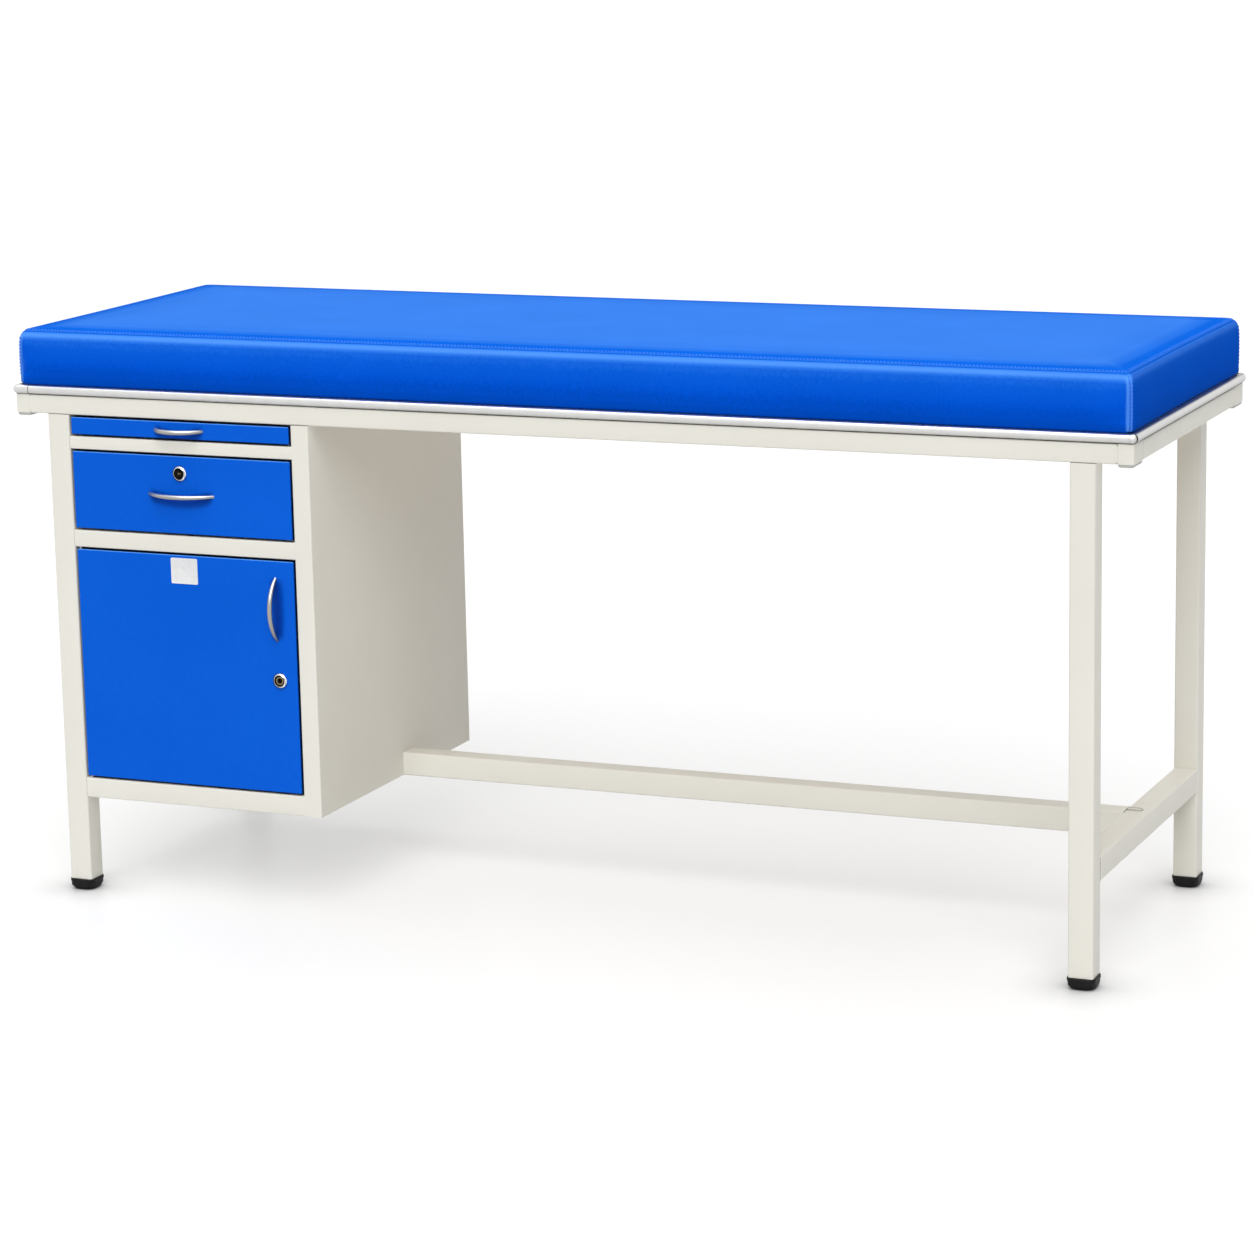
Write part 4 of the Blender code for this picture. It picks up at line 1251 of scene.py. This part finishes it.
def dressLockBody(node):
    low, high, centre = span(node)[:3]
    proud = lock["proud"]
    centre.y = low.y + proud
    back = high.y - centre.y
    bore = lock["bore"]
    slope = lock["slope"]
    start = bore + lock["lip"]
    spread = (lock["bezel"] - start) / (1 - math.sin(slope))
    drop = (proud - lock["skirt"]) / math.cos(slope)
    profile = [(bore + out, depth - proud) for out, depth in lock["rim"]]
    for step in range(lock["domeSteps"] + 1):
        angle = slope + (quarter - slope) * step / lock["domeSteps"]
        away = start + spread * (math.sin(angle) - math.sin(slope))
        profile.append((away, drop * (math.cos(slope) - math.cos(angle)) - proud))
    profile += [
        (lock["bezel"], -lock["seat"]),
        (lock["barrel"], -lock["seat"]),
        (lock["barrel"], back),
        (bore, back),
    ]
    mesh = turned(centre, profile, lock["steps"], ring=True)
    standFor(makePiece(node + ".chromed", mesh, chrome, 45), "polished_chrome", node)


def cutKeyhole(piece, centre):
    width = core["keyWidth"]
    levels = [(0, width / core["keyRound"], depth) for depth in core["keyDepth"]]
    mesh = stacked("Y", centre, (width, core["keyLength"]), levels, core["keySteps"])
    carve(piece, makePiece("tool", mesh, blackCore))


def bareRing(piece, centre, inner, outer):
    # bare metal on the plug's face, between two radii
    piece.data.materials.append(brass)
    for face in piece.data.polygons:
        points = [piece.data.vertices[index].co - centre for index in face.vertices]
        away = [Vector((point.x, point.z)).length for point in points]
        shown = max(point.y for point in points) < core["shown"]
        if shown and min(away) > inner - core["ringSlack"][0] and max(away) < outer + core["ringSlack"][1]:
            face.material_index = 1


def dressLockPlug(node):
    low, _, _, size = span(node)
    centre = span(node.replace("plug", "body"))[2]
    centre.y = low.y
    radius = core["radius"]
    sunk = core["sunk"]
    inner, outer = core["ring"][node.split("_")[0]]
    profile = [(core["bore"], sunk), (inner, sunk), (outer, sunk), (outer + sunk, 0)]
    profile += [(radius - inset, depth) for inset, depth in core["edge"]]
    profile += [(radius, size.y), (core["bore"], size.y)]
    piece = makePiece(node + ".turned", turned(centre, profile, lock["steps"]), blackCore, 30)
    cutKeyhole(piece, centre)
    bareRing(piece, centre, inner, outer)
    standFor(piece, "black_plug", node)


def addCam(node):
    # behind the front, it points to where the plug's box reaches furthest
    low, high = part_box(node)
    centre = span(node.replace("plug", "body"))[2]
    width = camBar["width"]
    way = "X" if low.x - centre.x <= low.z - centre.z else "Z"
    axis = "XYZ".index(way)
    reach = centre[axis] - low[axis]
    length = reach + width / 2
    centre.y = 0
    centre[axis] += width / 4 - reach / 2
    size = (length, width) if way == "X" else (width, length)
    edge = camBar["edge"]
    around = width / camBar["endRound"]
    end = high.y - camBar["gap"]
    start = end - camBar["thick"]
    levels = [
        (edge, around - edge / 2, start),
        (0, around, start + edge / 2),
        (0, around, end - edge / 2),
        (edge, around - edge / 2, end),
    ]
    mesh = stacked("Y", centre, size, levels, camBar["steps"])
    bar = makePiece(node.replace("plug", "cam"), mesh, zinc, 50)
    addTo(bar, bodyOf[node])


for group in ("drawer", "door"):
    dressLockBody(group + "_lock_body")
    dressLockPlug(group + "_lock_plug")
    addCam(group + "_lock_plug")


# Blank label plate on the door
plate = {
    # inset, corner radius and depth in millimetres, from the middle of the face to its edge
    "face": ((3, 1, 0.12), (2.4, 1.2, 0), (0.6, 1.7, 0), (0, 2, 0.25)),
    "corner": 2 * mm,
    "behind": 0.25 * mm,
    "steps": 6,
}


def dressPlate():
    start, end, centre, across = spanAlong("door_plate", "Y")
    levels = [(inset * mm, radius * mm, start + depth * mm) for inset, radius, depth in plate["face"]]
    levels.append((0, plate["corner"], end + plate["behind"]))
    mesh = stacked("Y", centre, across, levels, plate["steps"])
    standFor(makePiece("door_plate.blank", mesh, plateWhite, 30), "blank_plate", "door_plate")


dressPlate()
print("handles, locks and plate dressed")


# Mattress: a sewn vinyl cover over firm foam
mattress = {
    "corner": 11 * mm,  # plan radius of the upright corners
    "cornerSteps": 7,
    "cornerEase": 1.5,  # draws the points towards the corner seam
    "draw": 2 * mm,  # how far the sides pull in between the corners
    "bulge": 2 * mm,
    "cell": 16 * mm,
    "crownRise": 1.2 * mm,  # rise over the flat middle, inside the last ring
    "crownReach": 90 * mm,
    "grooveDepth": 1.3 * mm,  # upright corner seams
    "grooveWidth": 1.1 * mm,
    "fill": 0.9,
}
# inset and height in millimetres, from the hem under the mattress up over the seam to the top
mattressProfile = (
    (60, 0), (26, 0), (8, 0), (3.4, 0.2), (1.5, 1.0), (0.4, 2.6), (0, 5.5), (-0.2, 14), (-0.3, 24),
    (-0.4, 36), (-0.4, 48), (-0.2, 58), (0, 65), (0.5, 69.8), (1.3, 74), (2.4, 77.6), (3.8, 80.6),
    (5.2, 82.6), (6.2, 83.2), (7.0, 82.4), (7.6, 84.8), (8.8, 85.6), (12, 86.0), (17, 86.5),
    (24, 87.1), (34, 87.7), (48, 88.4), (64, 88.9),
)
heldRings = (*range(7), *range(14, 23))  # by the hem, and by the seam and its stitches
seamRings = (18, 19)  # where the seam's fold starts, in shade
uprightRings = range(5, 18)  # rings that the upright corner seams draw in
coverLow, _, coverMiddle, coverSize = span("mattress_cover")
halfX = coverSize.x / 2 - mattress["bulge"]
halfY = coverSize.y / 2 - mattress["bulge"]
sideSteps = [round(2 * half / mattress["cell"]) for half in (halfX, halfY, halfX, halfY)]


def onMattress(point, height):
    return Vector((coverMiddle.x + point.x, coverMiddle.y + point.y, coverLow.z + height * mm))


def mattressSides(inset):
    # each side's way out and along, half its length, and how far out it lies
    ways = [Vector(way) for way in ((0, -1), (1, 0), (0, 1), (-1, 0))]
    reach = (halfX - inset, halfY - inset)
    return [(out, toLeft(out), reach[i % 2], reach[1 - i % 2]) for i, out in enumerate(ways)]


def mattressRing(inset, groove=0.0):
    # points in the plane, each side running from the middle of one corner to the next
    shrink = 1 - inset / halfY
    radius = mattress["corner"] * shrink
    draw = mattress["draw"] * shrink
    turns = mattress["cornerSteps"]
    spread = [(step / turns) ** mattress["cornerEase"] for step in range(turns)]
    points = []
    for (out, along, reach, distance), steps in zip(mattressSides(inset), sideSteps):

        def bent(end, part):
            angle = quarter / 2 * part
            away = radius * (quarter / 2 - angle)
            dent = groove * math.exp(-((away / mattress["grooveWidth"]) ** 2))
            centre = out * (distance - radius) + along * end * (reach - radius)
            return centre + (radius - dent) * (out * math.cos(angle) + along * end * math.sin(angle))

        points += [bent(-1, 1 - part) for part in spread]
        for step in range(steps + 1):
            part = step / steps
            pulled = distance - draw * math.sin(math.pi * part)
            points.append(out * pulled + along * (reach - radius) * (2 * part - 1))
        points += [bent(1, part) for part in spread[1:]]
    return points


def crownAt(point, low, high):
    rise = mattress["crownRise"]
    for axis in (0, 1):
        edge = min(point[axis] - low[axis], high[axis] - point[axis])
        part = min(1, max(0, edge / mattress["crownReach"]))
        rise *= part * (2 - part)
    return rise


def fillTop(mesh, border, height):
    # a crowned grid across the last ring, its lines led by the four sides
    countX, countY = [steps + 2 * mattress["cornerSteps"] for steps in sideSteps[:2]]
    loop = border + border[:1]
    frontRow = loop[:countX + 1]
    rightRow = loop[countX:countX + countY + 1]
    rearRow = loop[countX + countY:2 * countX + countY + 1][::-1]
    leftRow = loop[2 * countX + countY:][::-1]
    grid = [leftRow]
    for i in range(1, countX):
        u = i / countX
        column = [frontRow[i]]
        for j in range(1, countY):
            v = j / countY
            sides = (1 - v) * frontRow[i].co + v * rearRow[i].co
            sides += (1 - u) * leftRow[j].co + u * rightRow[j].co
            plain = (1 - u) * ((1 - v) * frontRow[0].co + v * rearRow[0].co)
            plain += u * ((1 - v) * frontRow[-1].co + v * rearRow[-1].co)
            point = sides - plain
            point.z = height + crownAt(point, frontRow[0].co, rearRow[-1].co)
            column.append(mesh.verts.new(point))
        grid.append(column + [rearRow[i]])
    grid.append(rightRow)
    for near, far in zip(grid, grid[1:]):
        for j in range(countY):
            mesh.faces.new((near[j], far[j], far[j + 1], near[j + 1]))


def mattressMesh():
    mesh = bmesh.new()
    rows = []
    for level, (inset, height) in enumerate(mattressProfile):
        groove = mattress["grooveDepth"] if level in uprightRings else 0.0
        ring = mattressRing(inset * mm, groove)
        rows.append([mesh.verts.new(onMattress(point, height)) for point in ring])
    for level, (near, far) in enumerate(zip(rows, rows[1:])):
        for i in range(len(near)):
            face = mesh.faces.new((near[i - 1], near[i], far[i], far[i - 1]))
            face.material_index = 1 if level in seamRings else 0
    mesh.faces.new(rows[0])
    fillTop(mesh, rows[-1], coverLow.z + mattressProfile[-1][1] * mm)
    count = len(rows[0])
    held = [level * count + i for level in heldRings for i in range(count)]
    return mesh, held


# Cloth that blows the cover up between its seams, with each point kept within the cap
cloth = {
    "frames": 8,
    "start": 0.6 * mm,  # how much smaller the free cloth starts
    "cap": 0.5 * mm,
    "settings": {
        "quality": 4,
        "mass": 0.4,
        "tension_stiffness": 25,
        "compression_stiffness": 25,
        "shear_stiffness": 12,
        "bending_stiffness": 6,
        "use_pressure": True,
        "uniform_pressure_force": 2.0,
    },
}


def swell(piece, held):
    points = piece.data.vertices
    wanted = [vert.co.copy() for vert in points]
    normals = [vert.normal.copy() for vert in points]
    for index in set(range(len(points))) - set(held):
        points[index].co -= normals[index] * cloth["start"]
    group = piece.vertex_groups.new(name="sewn")
    group.add(held, 1.0, "REPLACE")
    change = piece.modifiers.new("cloth", "CLOTH")
    for key, value in cloth["settings"].items():
        setattr(change.settings, key, value)
    change.settings.vertex_group_mass = group.name
    change.settings.effector_weights.gravity = 0
    change.collision_settings.use_collision = False
    change.point_cache.frame_start = 1
    change.point_cache.frame_end = cloth["frames"]
    for now in range(1, cloth["frames"] + 1):
        scene.frame_set(now)
    shaped = piece.evaluated_get(bpy.context.evaluated_depsgraph_get()).to_mesh()
    moved = [vert.co.copy() for vert in shaped.vertices]
    piece.modifiers.remove(change)
    piece.vertex_groups.remove(group)
    scene.frame_set(1)
    furthest = 0
    for vert, start, end in zip(points, wanted, moved):
        step = end - start
        furthest = max(furthest, step.length)
        if step.length > cloth["cap"]:
            step = step.normalized() * cloth["cap"]
        vert.co = start + step
    print("mattress swelled, furthest point", round(furthest / mm, 1), "mm")


# Two rows of stitches along the top seam and along each upright corner seam
stitch = {
    "pitch": 5.6 * mm,
    "length": 4.0 * mm,
    "radius": 0.5 * mm,
    "stand": 0.25 * mm,  # of its middle over the cloth
    "sink": 0.4 * mm,
    "sides": 6,
    "shape": ((-0.5, 0.3, 1), (-0.28, 1, 0), (0.28, 1, 0), (0.5, 0.3, 1)),  # place, thickness, sink
    # inset and height of each row on the top, and the way the cloth faces there, out and up
    "rows": ((9.6, 85.75, 0.20, 0.98), (13.4, 86.2, 0.12, 0.99)),
}
cornerRow = {"away": 2.3 * mm, "start": 7, "end": 77, "inset": 4}  # heights and inset in millimetres


def addStitch(mesh, middle, along, up):
    side = along.cross(up).normalized()
    loops = []
    for part, thick, sink in stitch["shape"]:
        centre = middle + along * stitch["length"] * part - up * stitch["sink"] * sink
        radius = stitch["radius"] * thick
        loops.append([centre + (side * u + up * v) * radius for u, v in circle(stitch["sides"])])
    addSkin(mesh, loops)


def sewPath(mesh, path, facing):
    # facing is the way up from the cloth at each point of the path
    due = stitch["pitch"] / 2
    travel = 0
    for start, end, upStart, upEnd in zip(path, path[1:], facing, facing[1:]):
        run = (end - start).length
        along = (end - start).normalized()
        while due <= travel + run:
            part = (due - travel) / run
            up = upStart.lerp(upEnd, part).normalized()
            addStitch(mesh, start.lerp(end, part) + up * stitch["stand"], along, up)
            due += stitch["pitch"]
        travel += run


def sewTop(mesh):
    for inset, height, outward, upward in stitch["rows"]:
        ring = mattressRing(inset * mm)
        path = [onMattress(point, height) for point in ring]
        facing = []
        for i in range(len(ring)):
            out = -toLeft((ring[(i + 1) % len(ring)] - ring[i - 1]).normalized()) * outward
            facing.append(Vector((out.x, out.y, upward)))
        sewPath(mesh, path + path[:1], facing + facing[:1])


def sewCorners(mesh):
    radius = mattress["corner"]
    for out, along, reach, distance in mattressSides(0):
        centre = out * (distance - radius) + along * (reach - radius)
        for side in (-1, 1):
            angle = quarter / 2 + side * cornerRow["away"] / radius
            spoke = out * math.cos(angle) + along * math.sin(angle)
            path = []
            for inset, height in mattressProfile:
                if cornerRow["start"] <= height <= cornerRow["end"] and inset < cornerRow["inset"]:
                    path.append(onMattress(centre + spoke * (radius - inset * mm), height))
            sewPath(mesh, path, [Vector((spoke.x, spoke.y, 0))] * len(path))


def dressMattress():
    mesh, held = mattressMesh()
    piece = makePiece("mattress", mesh, vinyl, 50)
    piece.data.materials.append(seamShade)
    swell(piece, held)
    standFor(piece, "blue_vinyl", "mattress_cover", "mattress_foam")
    stitches = bmesh.new()
    sewTop(stitches)
    sewCorners(stitches)
    addTo(makePiece("mattress_stitching", stitches, thread, 60), "frame")


dressMattress()
print("mattress sewn")


# Nodes whose own shape is right keep it and get their finish
keptNodes = (
    (ivory, ("cabinet_side_left", "cabinet_back", "cabinet_floor", "cabinet_divider")),
    (zinc, ("tray_runner_left", "tray_runner_right", "drawer_runner_left", "drawer_runner_right")),
    (zinc, ("door_pin_top", "door_pin_bottom")),
    (plywood, ("deck_board",)),
)
for finish, names in keptNodes:
    for node in names:
        nodes[node].data.materials.clear()
        nodes[node].data.materials.append(finish)
print("remaining nodes finished")
